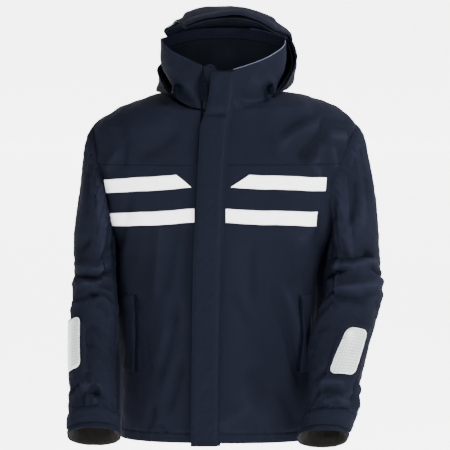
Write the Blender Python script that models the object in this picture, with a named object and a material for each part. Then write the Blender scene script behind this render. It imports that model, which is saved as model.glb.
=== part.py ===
"""A foul weather jacket: a lined nylon shell that hangs from its neck loop, with its zips, flaps, hood and cord locks.

Metres, +Z up, the front faces -Y. The origin is at the hanger loop, at the seam of the back neck. Right and left
are the wearer's, so the right side lies at -X. Every sewn panel is one closed slab of cloth, and the pieces that
move have their origin on their joint's axis.
"""

import math

import bmesh
import bpy
from mathutils import Matrix, Vector

GAP = 0.0004  # air left between two pieces that touch
CLOTH = 0.0028  # shell fabric with its backing
LINING = 0.0016
TAPE = 0.0008  # reflective tape and hook-and-loop strips

HEM_Z = -0.726
YOKE_Z = -0.133  # seam across the chest
ARMHOLE_TOP = -0.052
ARMHOLE_BOTTOM = -0.300
ARMHOLE_Y = -0.072
ARMHOLE_REACH = 0.082  # half of the armhole's width, front to back
NECK_FRONT_Z = -0.020
NECK_SIDE_Z = 0.0195
NECK_HALF_WIDTH = 0.108
NECK_BACK_Y = 0.006
COLLAR_FRONT_Z = 0.064
COLLAR_SIDE_Z = 0.128
COLLAR_BACK_Z = 0.140

FRONT_TOP = (0.065, -0.180)  # height and depth of the front line at the top of the collar
FRONT_SLOPE = 0.038  # how far the front line leans forward for each metre down

# height, half width on the right, half width on the left, front, back, squareness. Above the neck the front and the
# back draw together, as the shoulders do under the collar. The front is a straight line where it says None.
TORSO = (
    (-0.760, 0.219, 0.212, None, 0.060, 2.6),
    (-0.726, 0.219, 0.212, None, 0.060, 2.6),
    (-0.600, 0.219, 0.209, None, 0.060, 2.7),
    (-0.500, 0.220, 0.204, None, 0.061, 2.7),
    (-0.400, 0.221, 0.202, None, 0.061, 2.7),
    (-0.340, 0.223, 0.211, None, 0.061, 2.7),
    (-0.300, 0.232, 0.228, None, 0.061, 2.8),
    (-0.250, 0.250, 0.248, None, 0.060, 2.8),
    (-0.200, 0.264, 0.262, None, 0.059, 2.8),
    (-0.150, 0.276, 0.276, None, 0.057, 2.8),
    (-0.100, 0.283, 0.286, None, 0.052, 2.7),
    (-0.060, 0.279, 0.286, None, 0.041, 2.4),
    (-0.045, 0.268, 0.278, None, 0.036, 2.2),
    (-0.030, 0.248, 0.264, None, 0.030, 2.1),
    (-0.020, 0.230, 0.246, None, 0.024, 2.0),
    (-0.010, 0.205, 0.223, -0.176, 0.017, 2.0),
    (0.000, 0.177, 0.194, -0.166, 0.008, 2.0),
    (0.008, 0.155, 0.170, -0.150, -0.004, 2.0),
    (0.014, 0.134, 0.141, -0.130, -0.020, 2.0),
    (0.020, 0.108, 0.108, -0.105, -0.045, 2.0),
)

# height, half width, back, squareness of the standing collar, which opens out upwards
COLLAR = (
    (-0.030, 0.108, 0.006, 2.8),
    (0.020, 0.109, 0.006, 2.8),
    (0.045, 0.120, 0.007, 2.8),
    (0.065, 0.128, 0.008, 2.8),
    (0.100, 0.134, 0.008, 2.8),
    (0.150, 0.134, 0.008, 2.8),
)

# height, centre x, centre y, half width, half depth, forward tilt in degrees
SLEEVE = {
    "left": (
        (-0.340, 0.2755, -0.096, 0.0575, 0.075, 10),
        (-0.400, 0.2740, -0.122, 0.0660, 0.071, 18),
        (-0.460, 0.2620, -0.156, 0.0650, 0.067, 26),
        (-0.520, 0.2460, -0.190, 0.0650, 0.063, 27),
        (-0.610, 0.2310, -0.237, 0.0565, 0.059, 27),
        (-0.702, 0.2060, -0.283, 0.0540, 0.057, 27),
    ),
    "right": (
        (-0.340, 0.2755, -0.088, 0.0475, 0.075, 8),
        (-0.400, 0.2780, -0.104, 0.0510, 0.071, 16),
        (-0.460, 0.2800, -0.130, 0.0515, 0.067, 25),
        (-0.520, 0.2810, -0.160, 0.0495, 0.063, 27),
        (-0.610, 0.2770, -0.205, 0.0510, 0.059, 27),
        (-0.702, 0.2725, -0.249, 0.0565, 0.057, 27),
    ),
}
SIDE = {"left": 1, "right": -1}
ELBOW_Z = -0.400
CUFF_Z = -0.702

ZIP_X = -0.045
ZIP_TOP_Z = 0.055
ZIP_BOTTOM_Z = -0.712
ZIP_OPENING = 0.0045  # from the zip's middle to the cloth beside it

FLAP_TOP_Z = 0.063
FLAP_BOTTOM_Z = -0.733
FLAP_STAND = 0.0090  # from the front to the inside of the flap, room for the slider
FLAP_THICK = 0.0025
FLAP_FOOT = 0.0050
FLAP_SEWN_X = (-0.008, 0.022)  # its sewn edge at the bottom and at the top, a straight line that it turns about
# height and free edge
FLAP = (
    (FLAP_BOTTOM_Z, -0.0700),
    (-0.356, -0.0654),
    (-0.210, -0.0577),
    (-0.055, -0.0500),
    (-0.011, -0.0360),
    (FLAP_TOP_Z, -0.0260),
)

HOOD_AXIS = (0.002, -0.095, 0.020)  # the hood folds back about a line across the neck
HOOD_RADIUS = 0.174
HOOD_HALF_WIDTH = 0.158
HOOD_SQUARENESS = 3.1
HOOD_OPEN_ANGLE = 96.0  # front edge of the brim, in degrees up from the back
HOOD_LOW_ANGLE = 22.0
HOOD_BRIM_ANGLE = 13.0
HOOD_REACH = 0.965  # share of the half width that the crown covers to each side
BASE_START = math.radians(64)  # angle round the collar at which the hood's sewn base begins
BASE_SIDE = math.radians(100)  # from this angle on it reaches its full height
BASE_BAND = 0.012
BASE_CROWN_REACH = 0.93
BASE_BOW = 0.010

HANGER_HALF = 0.036
HANGER_BOW = 0.0115
HANGER_DROP = 0.014
HANGER_WIDTH = 0.004
HANGER_THICK = 0.0016

CHIN_RADIUS = 0.014
CHIN_LENGTH = 0.034
CHIN_FROM_ZIP = 0.016
CHIN_BEHIND = 0.0112  # behind the front line, inside the collar
CHIN_Z = 0.064

SLIDER_SIZE = (0.0100, 0.0030, 0.0150)
SLIDER_OUT = 0.0024
ZIP_BOX_SIZE = (0.0078, 0.0026, 0.014)
PULLER_OUT = 0.0050  # its pin, in front of the zip
PULLER_LENGTH = 0.050
PULLER_HALF = 0.0085
PULLER_THICK = 0.0020
TOOTH_BAND = (0.0002, 0.0034, 0.0002, 0.0024)  # from the middle, to the middle, depth behind the front, thickness
TAPE_BAND = (0.0036, 0.0170, CLOTH + 0.0014, TAPE)

HOOK_INSET = 0.003  # from the flap's free edge to its hook tape
HOOK_WIDTH = 0.008
HOOK_HEIGHTS = (-0.690, -0.400, -0.300)  # the tape stays below, where the flap reaches well past the zip

POCKET_X = {"left": 0.176, "right": 0.196}
POCKET_TOP_Z = -0.412
POCKET_BOTTOM_Z = -0.576
POCKET_DEPTH = 0.115
POCKET_BAG_DROP = 0.050
WELT_WIDTH = 0.024
WELT_OUT = 0.0030
WELT_THICK = 0.0026
POCKET_SLIDER_SIZE = (0.0044, 0.0024, 0.0090)
POCKET_SLIDER_OUT = 0.0032
POCKET_PIN_OUT = 0.0050
POCKET_PULLER_LENGTH = 0.024
POCKET_PULLER_HALF = 0.0026
POCKET_PULLER_THICK = 0.0014

SLEEVE_OUT = 0.0045  # air between the sleeve's cap and the armhole's edge
RING_STEPS = 18
CUFF_LINING_TOP = -0.565

TAB_Z = (-0.691, -0.661)
TAB_SEWN = math.radians(128)  # its sewn end, round the cuff from the outer side
TAB_FREE = math.radians(-8)
TAB_OUT = 0.0016
TAB_THICK = 0.0022
LOOP_PATCH_END = math.radians(64)
PATCH_Z = {"left": (-0.592, -0.500), "right": (-0.581, -0.479)}
PATCH_TURNS = {"left": (43, 92), "right": (10, 66)}

STRIPE_OUT = 0.0011
STRIPES = {
    # lower and upper edge heights at the inner end and at the outer end, then both ends' distance from the middle,
    # for the lower and the upper edge
    "chest_stripe_upper_right": ((-0.1815, -0.1965), (-0.1545, -0.1680), (0.0690, 0.2480), (0.1010, 0.2500)),
    "chest_stripe_upper_left": ((-0.1815, -0.1905), (-0.1545, -0.1620), (0.0240, 0.2190), (0.0560, 0.2260)),
    "chest_stripe_lower_right": ((-0.2550, -0.2680), (-0.2260, -0.2400), (0.0760, 0.2380), (0.0760, 0.2400)),
    "chest_stripe_lower_left": ((-0.2560, -0.2650), (-0.2270, -0.2350), (0.0200, 0.2080), (0.0200, 0.2100)),
}

LOCK_ANGLE = math.radians(50)
LOCK_Z = 0.024
LOCK_OUT = 0.0115
LOCK_BORE = 0.0046
LOCK_SIDES = 16
# radius and height of the barrel, from its foot up, over its mouth and down into the bore
LOCK_PROFILE = (
    (0.0070, -0.009),
    (0.0076, -0.006),
    (0.0076, 0.005),
    (0.0070, 0.007),
    (LOCK_BORE, 0.007),
    (LOCK_BORE, -0.005),
)
PLUNGER_Z = (0.0005, 0.0125)

COLOURS = {
    "shell": (0.017, 0.022, 0.042, 0.62, 0.0),
    "lining": (0.020, 0.018, 0.016, 0.75, 0.0),
    "reflective": (0.78, 0.79, 0.80, 0.32, 0.0),
    "prismatic": (0.55, 0.58, 0.60, 0.30, 0.0),
    "plastic": (0.020, 0.022, 0.028, 0.38, 0.0),
    "lock": (0.020, 0.13, 0.19, 0.35, 0.0),
    "webbing": (0.014, 0.017, 0.028, 0.80, 0.0),
}


def clear_scene():
    for obj in list(bpy.data.objects):
        bpy.data.objects.remove(obj, do_unlink=True)


def material(name):
    """The Principled material of one finish, made once."""
    if name in bpy.data.materials:
        return bpy.data.materials[name]
    red, green, blue, roughness, metallic = COLOURS[name]
    made = bpy.data.materials.new(name)
    made.use_nodes = True
    shader = made.node_tree.nodes["Principled BSDF"]
    shader.inputs["Base Color"].default_value = (red, green, blue, 1)
    shader.inputs["Roughness"].default_value = roughness
    shader.inputs["Metallic"].default_value = metallic
    made.diffuse_color = (red, green, blue, 1)
    return made


def table_at(table, height):
    """The row of a table at this height, with straight lines between its rows."""
    if height <= table[0][0]:
        return table[0][1:]
    for low, high in zip(table, table[1:]):
        if height <= high[0]:
            part = (height - low[0]) / (high[0] - low[0])
            return [a + (b - a) * part for a, b in zip(low[1:], high[1:])]
    return table[-1][1:]


def signed_power(value, power):
    return math.copysign(abs(value) ** power, value)


def front_y(z):
    return FRONT_TOP[1] - (FRONT_TOP[0] - z) * FRONT_SLOPE


def torso_at(z):
    """Half widths on both sides, middle and half depth, and squareness of the body at one height."""
    above = [row for row in TORSO if row[0] >= z]
    below = [row for row in TORSO if row[0] < z]
    high = above[0] if above else TORSO[-1]
    low = below[-1] if below else TORSO[0]
    part = (z - low[0]) / (high[0] - low[0]) if high[0] > low[0] else 0.0
    fronts = [front_y(row[0]) if row[3] is None else row[3] for row in (low, high)]
    front = fronts[0] + (fronts[1] - fronts[0]) * part
    right, left, back, square = [low[i] + (high[i] - low[i]) * part for i in (1, 2, 4, 5)]
    return right, left, (front + back) / 2, (back - front) / 2, square


def torso_point(angle, z, out=0.0):
    """A point of the body's surface. The angle is 0 at the front and a quarter turn at the left side seam."""
    right, left, middle, depth, square = torso_at(z)
    width = (left if math.sin(angle) > 0 else right) + out
    across = signed_power(math.sin(angle), 2 / square) * width
    along = signed_power(math.cos(angle), 2 / square) * (depth + out)
    return Vector((across, middle - along, z))


def collar_point(angle, z, out=0.0):
    """A point of the standing collar at one height."""
    half_width, back, square = table_at(COLLAR, z)
    front = front_y(z)
    across = signed_power(math.sin(angle), 2 / square) * (half_width + out)
    along = signed_power(math.cos(angle), 2 / square) * ((back - front) / 2 + out)
    return Vector((across, (front + back) / 2 - along, z))


def collar_angle_of_x(x, z):
    half_width, _, square = table_at(COLLAR, z)
    return math.copysign(math.asin(min(abs(x) / half_width, 1.0) ** (square / 2)), x)


def inside_neck(point):
    """Above 0 inside the neck opening, seen from above, and below 0 outside it."""
    square = COLLAR[0][3]
    front = front_y(NECK_FRONT_Z)
    middle = (front + NECK_BACK_Y) / 2
    depth = (NECK_BACK_Y - front) / 2
    return 1 - abs(point.x / NECK_HALF_WIDTH) ** square - abs((point.y - middle) / depth) ** square


def neck_height(angle_at):
    """The height at which the body's surface reaches the neck opening, along angle_at(z)."""
    low, high = NECK_FRONT_Z - 0.004, TORSO[-1][0]
    for _ in range(30):
        middle = (low + high) / 2
        if inside_neck(torso_point(angle_at(middle), middle)) > 0:
            high = middle
        else:
            low = middle
    return low


def neck_z(angle):
    """Height of the collar seam at this angle round the collar."""
    low, high = NECK_FRONT_Z - 0.004, TORSO[-1][0]
    point = collar_point(angle, NECK_FRONT_Z)
    for _ in range(30):
        middle = (low + high) / 2
        right, left, centre, depth, square = torso_at(middle)
        width = left if point.x > 0 else right
        if abs(point.x / width) ** square + abs((point.y - centre) / depth) ** square > 1:
            high = middle
        else:
            low = middle
    return low


def angle_of_x(x, z):
    """The angle at which the front of the body has this x."""
    right, left, _, _, square = torso_at(z)
    share = min(abs(x) / (left if x > 0 else right), 1.0)
    return math.copysign(math.asin(share ** (square / 2)), x)


def armhole_y(z, front):
    """Depth of the armhole's edge at this height, on its front or its back side."""
    middle = (ARMHOLE_TOP + ARMHOLE_BOTTOM) / 2
    half = (ARMHOLE_TOP - ARMHOLE_BOTTOM) / 2
    share = max(0.0, 1 - ((z - middle) / half) ** 2)
    reach = ARMHOLE_REACH * math.sqrt(share)
    return ARMHOLE_Y - reach if front else ARMHOLE_Y + reach


def seam_angle(z, front):
    """The angle of the side seam, or of the armhole's edge where the height crosses it."""
    _, _, middle, depth, square = torso_at(z)
    y = armhole_y(z, front)
    share = max(-1.0, min(1.0, (middle - y) / depth))
    angle = math.acos(signed_power(share, square / 2))
    return angle - 0.0030 if front else angle + 0.0030


def collar_top(angle):
    """Height of the collar's upper edge, low at the chin and high behind."""
    turn = (1 - math.cos(angle)) / 2
    rise = min(1.0, turn * 2.6)
    smooth = rise * rise * (3 - 2 * rise)
    top = COLLAR_FRONT_Z + (COLLAR_SIDE_Z - COLLAR_FRONT_Z) * smooth
    return top + (COLLAR_BACK_Z - COLLAR_SIDE_Z) * max(0.0, -math.cos(angle))


def collar_z(angle, part, drop=0.0):
    """Height in the collar: part runs from 0 at the neck seam to 1 at the upper edge."""
    low = neck_z(angle) + 0.0020
    return low + (collar_top(angle) - drop - low) * part


def collar_edge(x, part):
    """The angle at which the collar's front edge has this x, at one part of its height."""
    angle = collar_angle_of_x(x, NECK_FRONT_Z)
    for _ in range(5):
        angle = collar_angle_of_x(x, collar_z(angle, part))
    return angle


def add(name, mesh, finish, origin=None):
    """One finished object. Its origin is moved onto the joint's axis where it has one."""
    mesh.materials.append(material(finish))
    mesh.shade_smooth()
    mesh.set_sharp_from_angle(angle=math.radians(35))
    obj = bpy.data.objects.new(name, mesh)
    bpy.context.scene.collection.objects.link(obj)
    if origin is not None:
        mesh.transform(Matrix.Translation(-Vector(origin)))
        obj.location = origin
    return obj


def slab(name, outer, inner, finish, ring=False, origin=None):
    """A closed slab between two grids of points. With ring, each row closes on itself and the slab is a tube."""
    built = bmesh.new()
    skins = [[[built.verts.new(p) for p in row] for row in grid] for grid in (outer, inner)]
    rows = len(outer)
    columns = len(outer[0])
    steps = columns if ring else columns - 1
    for skin in skins:
        for i in range(rows - 1):
            for j in range(steps):
                k = (j + 1) % columns
                built.faces.new((skin[i][j], skin[i][k], skin[i + 1][k], skin[i + 1][j]))
    for i in (0, rows - 1):
        for j in range(steps):
            k = (j + 1) % columns
            built.faces.new((skins[0][i][j], skins[0][i][k], skins[1][i][k], skins[1][i][j]))
    if not ring:
        for j in (0, columns - 1):
            for i in range(rows - 1):
                built.faces.new((skins[0][i][j], skins[0][i + 1][j], skins[1][i + 1][j], skins[1][i][j]))
    bmesh.ops.recalc_face_normals(built, faces=built.faces)
    mesh = bpy.data.meshes.new(name)
    built.to_mesh(mesh)
    built.free()
    return add(name, mesh, finish, origin)


def block(name, centre, size, finish, bevel=0.0008, turn=None, origin=None):
    """A bevelled block, turned about its centre by a matrix."""
    built = bmesh.new()
    bmesh.ops.create_cube(built, size=1.0, matrix=Matrix.Diagonal((*size, 1)))
    if bevel:
        bmesh.ops.bevel(
            built, geom=built.edges, offset=bevel, segments=2, profile=0.5, affect="EDGES", clamp_overlap=True
        )
    place = Matrix.Translation(centre)
    if turn is not None:
        place = place @ turn
    bmesh.ops.transform(built, matrix=place, verts=built.verts)
    mesh = bpy.data.meshes.new(name)
    built.to_mesh(mesh)
    built.free()
    return add(name, mesh, finish, origin)


def prism(name, outline, low, high, finish, place=None, origin=None, bevel=0.0):
    """A flat outline in X and Y extruded from one height to another."""
    built = bmesh.new()
    ring = [built.verts.new((x, y, low)) for x, y in outline]
    face = built.faces.new(ring)
    made = bmesh.ops.extrude_face_region(built, geom=[face])
    raised = [v for v in made["geom"] if isinstance(v, bmesh.types.BMVert)]
    bmesh.ops.translate(built, vec=(0, 0, high - low), verts=raised)
    bmesh.ops.recalc_face_normals(built, faces=built.faces)
    if bevel:
        bmesh.ops.bevel(
            built, geom=built.edges, offset=bevel, segments=1, profile=0.5, affect="EDGES", clamp_overlap=True
        )
    if place is not None:
        bmesh.ops.transform(built, matrix=place, verts=built.verts)
    mesh = bpy.data.meshes.new(name)
    built.to_mesh(mesh)
    built.free()
    return add(name, mesh, finish, origin)


def spread(start, end, count):
    return [start + (end - start) * i / (count - 1) for i in range(count)]


def body_heights():
    """Rows of the lower body, close together where the armhole turns."""
    return [HEM_Z, -0.600, -0.500, -0.400, -0.340, -0.302, -0.297, -0.285, -0.250, -0.200, -0.150]


def arm_heights(top):
    """Rows from the chest seam up past the top of the armhole."""
    return [YOKE_Z, -0.100, -0.075, -0.060, -0.0545, -0.050, -0.040, -0.026, -0.012, top]


def panel(name, heights, start, end, columns, out=0.0, thick=CLOTH, finish="shell", to_neck=False, origin=None):
    """A slab on the body's surface, from the angle start(z) to the angle end(z).

    With to_neck, the rows are raised so that the last one follows the neck opening."""
    shares = spread(0.0, 1.0, columns)
    grids = ([], [])
    base = heights[0]
    peak = heights[-1]
    tops = [neck_height(lambda z, share=share: start(z) + (end(z) - start(z)) * share) for share in shares]
    for height in heights:
        rows = ([], [])
        for share, top in zip(shares, tops):
            z = base + (height - base) * (top - base) / (peak - base) if to_neck else height
            angle = start(z) + (end(z) - start(z)) * share
            rows[0].append(torso_point(angle, z, out))
            rows[1].append(torso_point(angle, z, out - thick))
        grids[0].append(rows[0])
        grids[1].append(rows[1])
    return slab(name, grids[0], grids[1], finish, origin=origin)


def beside_zip(side, room=ZIP_OPENING):
    return lambda z: angle_of_x(ZIP_X + SIDE[side] * room, z)


def build_body():
    """Front panels, chest yokes and the back, each cut out for the armholes."""
    lower = body_heights() + [YOKE_Z - GAP]
    for side in ("left", "right"):
        sign = SIDE[side]
        edge = beside_zip(side)

        def seam(z, sign=sign):
            return sign * seam_angle(z, True)

        panel(f"front_panel_{side}", lower, edge, seam, 12)
        panel(f"front_yoke_{side}", arm_heights(NECK_SIDE_Z), edge, seam, 12, to_neck=True)
    back = body_heights() + arm_heights(NECK_SIDE_Z)
    panel(
        "back_panel",
        back,
        lambda z: seam_angle(z, False),
        lambda z: 2 * math.pi - seam_angle(z, False),
        21,
        to_neck=True,
    )
    inside = -CLOTH - 0.0120
    panel(
        "body_lining",
        [HEM_Z + 0.020, -0.600, -0.500, -0.400, -0.340, -0.312],
        lambda z: angle_of_x(ZIP_X + 0.030, z),
        lambda z: 2 * math.pi + angle_of_x(ZIP_X - 0.030, z),
        25,
        out=inside,
        thick=LINING,
        finish="lining",
    )


def build_collar():
    """The standing collar, the lining inside it, and the guard over the top of the zip."""
    for name, out, thick, finish, room, drop in (
        ("collar_shell", 0.0, CLOTH, "shell", ZIP_OPENING, 0.0),
        ("collar_lining", -CLOTH - 0.0016, LINING, "lining", ZIP_OPENING + 0.0145, 0.004),
    ):
        outer = []
        inner = []
        for v in spread(0.0, 1.0, 5):
            rows = ([], [])
            start = collar_edge(ZIP_X + room, v)
            end = 2 * math.pi + collar_edge(ZIP_X - room, v)
            for angle in spread(start, end, 33):
                z = collar_z(angle, v, drop)
                rows[0].append(collar_point(angle, z, out))
                rows[1].append(collar_point(angle, z, out - thick))
            outer.append(rows[0])
            inner.append(rows[1])
        slab(name, outer, inner, finish)
    outline = [(-CHIN_RADIUS, -CHIN_LENGTH), (CHIN_RADIUS, -CHIN_LENGTH)]
    outline += [(CHIN_RADIUS * math.cos(a), CHIN_RADIUS * math.sin(a)) for a in spread(0, math.pi, 11)]
    centre = Vector((ZIP_X + CHIN_FROM_ZIP, front_y(CHIN_Z) + CHIN_BEHIND, CHIN_Z))
    place = Matrix.Translation(centre) @ front_tilt() @ Matrix.Rotation(math.pi / 2, 4, "X")
    prism("chin_guard", outline, 0.0, LINING, "lining", place=place)


def build_hanger_loop():
    """A ribbon sewn at both ends inside the back neck, which bows up to the hook."""
    outer = []
    inner = []
    for height in (-HANGER_WIDTH, 0.0):
        rows = ([], [])
        for share in spread(-1.0, 1.0, 13):
            lift = 1 - share * share
            x = HANGER_HALF * share
            y = 0.0018 - HANGER_BOW * lift
            z = height - HANGER_DROP * (1 - lift)
            rows[0].append(Vector((x, y, z)))
            rows[1].append(Vector((x, y - HANGER_THICK, z)))
        outer.append(rows[0])
        inner.append(rows[1])
    slab("hanger_loop", outer, inner, "webbing")


def hood_point(across, angle, out=0.0):
    """A point of the hood: across runs from -1 to 1 over the head, and the angle rises from the back."""
    share = (1 - abs(across) ** HOOD_SQUARENESS) ** (1 / HOOD_SQUARENESS)
    radius = HOOD_RADIUS * share + out
    width = HOOD_HALF_WIDTH + out
    turn = math.radians(angle)
    return Vector((
        HOOD_AXIS[0] + width * across,
        HOOD_AXIS[1] + radius * math.cos(turn),
        HOOD_AXIS[2] + radius * math.sin(turn),
    ))


def hood_grid(angles, reach, out, columns):
    return [[hood_point(s, angle, out) for s in spread(-reach, reach, columns)] for angle in angles]


def build_hood():
    """The crown and its brim fold back together. The base stays sewn to the neck."""
    angles = spread(HOOD_LOW_ANGLE, HOOD_OPEN_ANGLE - HOOD_BRIM_ANGLE, 7)
    slab(
        "hood_crown",
        hood_grid(angles, HOOD_REACH, 0.0, 17),
        hood_grid(angles, HOOD_REACH, -CLOTH, 17),
        "shell",
        origin=HOOD_AXIS,
    )
    angles = spread(HOOD_OPEN_ANGLE - HOOD_BRIM_ANGLE + 0.3, HOOD_OPEN_ANGLE, 3)
    slab(
        "hood_brim",
        hood_grid(angles, HOOD_REACH, TAPE, 17),
        hood_grid(angles, HOOD_REACH, -CLOTH - TAPE, 17),
        "shell",
        origin=HOOD_AXIS,
    )
    grids = ([], [])
    for v in spread(0.0, 1.0, 5):
        rows = ([], [])
        for angle in spread(BASE_START, 2 * math.pi - BASE_START, 29):
            for row, inset in ((rows[0], 0.0), (rows[1], CLOTH)):
                row.append(hood_base_point(angle, v, inset))
        grids[0].append(rows[0])
        grids[1].append(rows[1])
    slab("hood_base", grids[0], grids[1], "shell")


def hood_base_point(angle, part, inset=0.0):
    """A point of the hood's sewn base, from the neck seam at part 0 to its upper edge at part 1. It begins as a narrow
    band at the front and reaches up inside the crown from the sides on."""
    seam = collar_point(angle, neck_z(angle) + 0.006, 0.0062 - inset)
    turn = min(angle, 2 * math.pi - angle)
    side = 1 if math.sin(angle) >= 0 else -1
    share = math.cos((max(turn, BASE_SIDE) - BASE_SIDE) / (math.pi - BASE_SIDE) * math.pi / 2)
    crown = hood_point(side * BASE_CROWN_REACH * share, HOOD_LOW_ANGLE + 10, -CLOTH - 0.0026 - inset)
    rise = min(1.0, (turn - BASE_START) / (BASE_SIDE - BASE_START))
    rise = rise * rise * (3 - 2 * rise)
    band = collar_point(angle, neck_z(angle) + 0.006 + BASE_BAND, 0.0088 - inset)
    edge = band.lerp(crown, rise)
    swell = math.sin(math.pi * part)
    bow = Vector((BASE_BOW * math.sin(angle), -BASE_BOW * math.cos(angle), -0.003)) * swell * max(rise, 0.35)
    return seam.lerp(edge, part) + bow


def flap_sewn_x(z):
    low, high = FLAP_SEWN_X
    return low + (high - low) * (z - FLAP_BOTTOM_Z) / (FLAP_TOP_Z - FLAP_BOTTOM_Z)


def build_storm_flap():
    """The flap over the zip. Its foot stands on the left front, and it opens about the foot's outer edge."""
    outline = []
    for z, free in FLAP:
        y = front_y(z) - GAP
        sewn = flap_sewn_x(z)
        outline.append([
            Vector((sewn, y, z)),
            Vector((sewn, y - FLAP_STAND - FLAP_THICK, z)),
            Vector((free, y - FLAP_STAND - FLAP_THICK, z)),
            Vector((free, y - FLAP_STAND, z)),
            Vector((sewn - FLAP_FOOT, y - FLAP_STAND, z)),
            Vector((sewn - FLAP_FOOT, y, z)),
        ])
    loft("storm_flap", outline, "shell", origin=flap_axis()[0])
    hook = []
    loop = []
    for z in HOOK_HEIGHTS:
        low = table_at(FLAP, z)[0] + HOOK_INSET
        high = low + HOOK_WIDTH
        hook.append(strip_row(low, high, front_y(z) - FLAP_STAND, TAPE, z))
        loop.append(strip_row(low, high, front_y(z) - GAP - TAPE, TAPE, z))
    loft("flap_hook_tape", hook, "webbing", origin=flap_axis()[0])
    loft("flap_loop_tape", loop, "webbing")


def strip_row(low, high, y, thick, z):
    return [Vector((low, y, z)), Vector((high, y, z)), Vector((high, y + thick, z)), Vector((low, y + thick, z))]


def flap_axis():
    """Two points of the line that the storm flap turns about."""
    return [Vector((flap_sewn_x(z), front_y(z) - GAP, z)) for z in (FLAP_TOP_Z, FLAP_BOTTOM_Z)]


def loft(name, outlines, finish, origin=None):
    """A closed solid through outlines of the same number of points, with flat ends."""
    built = bmesh.new()
    rings = [[built.verts.new(p) for p in outline] for outline in outlines]
    count = len(rings[0])
    for low, high in zip(rings, rings[1:]):
        for j in range(count):
            k = (j + 1) % count
            built.faces.new((low[j], low[k], high[k], high[j]))
    built.faces.new(rings[0])
    built.faces.new(rings[-1])
    bmesh.ops.recalc_face_normals(built, faces=built.faces)
    mesh = bpy.data.meshes.new(name)
    built.to_mesh(mesh)
    built.free()
    return add(name, mesh, finish, origin)


def front_tilt():
    """Turns a piece modelled upright so that it leans with the front."""
    return Matrix.Rotation(-math.atan(FRONT_SLOPE), 4, "X")


def on_front(x, z, out):
    return Vector((x, front_y(z) - out, z))


def zip_point(x, z, out):
    """A point near the zip: on the body's front, and on the collar above its seam."""
    if z < NECK_FRONT_Z:
        return torso_point(angle_of_x(x, z), z, out)
    return collar_point(collar_angle_of_x(x, z), z, out)


def build_front_zip():
    """Tapes and tooth chains of both sides, the box at the bottom, the slider and its puller."""
    for side in ("left", "right"):
        sign = SIDE[side]
        for name, near, far, depth, thick in (
            (f"zip_chain_{side}", *TOOTH_BAND),
            (f"zip_tape_{side}", *TAPE_BAND),
        ):
            rows = []
            for z in (ZIP_BOTTOM_Z + 0.014, -0.500, -0.300, YOKE_Z, -0.060, -0.020, 0.0, 0.020, ZIP_TOP_Z - 0.012):
                xs = sorted((ZIP_X + sign * near, ZIP_X + sign * far))
                front = [zip_point(x, z, -depth) for x in xs]
                rear = [zip_point(x, z, -depth - thick) for x in reversed(xs)]
                rows.append(front + rear)
            loft(name, rows, "plastic" if "chain" in name else "webbing")
    z = ZIP_BOTTOM_Z + 0.006
    block("zip_box", on_front(ZIP_X, z, -0.0016), ZIP_BOX_SIZE, "plastic", turn=front_tilt())
    z = ZIP_TOP_Z - 0.004
    block("zip_slider", on_front(ZIP_X, z, SLIDER_OUT), SLIDER_SIZE, "plastic", turn=front_tilt())
    pin = on_front(ZIP_X, z - 0.002, PULLER_OUT)
    half, foot = PULLER_HALF, -PULLER_LENGTH
    right = [(0.0035, 0.0003), (0.0050, -0.012), (half, -0.016), (half, foot + 0.002), (0.0045, foot)]
    outline = right + [(-x, y) for x, y in reversed(right)]
    place = Matrix.Translation(pin) @ front_tilt() @ Matrix.Rotation(math.pi / 2, 4, "X")
    prism("zip_puller", outline, -0.0003, PULLER_THICK, "plastic", place=place, origin=pin, bevel=0.0003)


def build_pocket(side):
    """A welt over an upright zip, the bag behind it, and the zip's slider with its puller."""
    sign = SIDE[side]
    middle = POCKET_X[side]

    def near(distance):
        return lambda z: sign * angle_of_x(distance, z) if sign > 0 else angle_of_x(-distance, z)

    heights = spread(POCKET_BOTTOM_Z, POCKET_TOP_Z, 5)
    inner = middle - WELT_WIDTH / 2
    outer = middle + WELT_WIDTH / 2
    panel(f"pocket_welt_{side}", heights, near(inner), near(outer), 4, WELT_OUT, WELT_THICK)
    heights = spread(POCKET_BOTTOM_Z + 0.006, POCKET_TOP_Z - 0.006, 4)
    panel(f"pocket_zip_{side}", heights, near(inner - 0.0050), near(inner - 0.0008), 3, 0.0014, 0.0010, "plastic")
    heights = spread(POCKET_BOTTOM_Z - POCKET_BAG_DROP, POCKET_TOP_Z, 4)
    panel(
        f"pocket_bag_{side}",
        heights,
        near(middle - POCKET_DEPTH),
        near(middle + 0.004),
        7,
        -CLOTH - LINING - 0.0030,
        0.0030,
        "lining",
    )


def pocket_frame(side):
    """Place and turn of the pocket's zip slider: its own -Y looks out of the cloth, its Z runs along the zip."""
    sign = SIDE[side]
    inner = POCKET_X[side] - WELT_WIDTH / 2 - 0.0029
    ends = []
    for z in (POCKET_BOTTOM_Z + 0.010, POCKET_TOP_Z - 0.010):
        ends.append(torso_point(angle_of_x(sign * inner, z), z, 0.0))
    near = torso_point(angle_of_x(sign * (inner - 0.010), ends[1].z), ends[1].z, 0.0)
    up = (ends[1] - ends[0]).normalized()
    side_way = (ends[1] - near).normalized() * sign
    back = up.cross(side_way).normalized()
    side_way = back.cross(up).normalized()
    turn = Matrix((side_way, back, up)).transposed().to_4x4()
    return ends, turn


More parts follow.
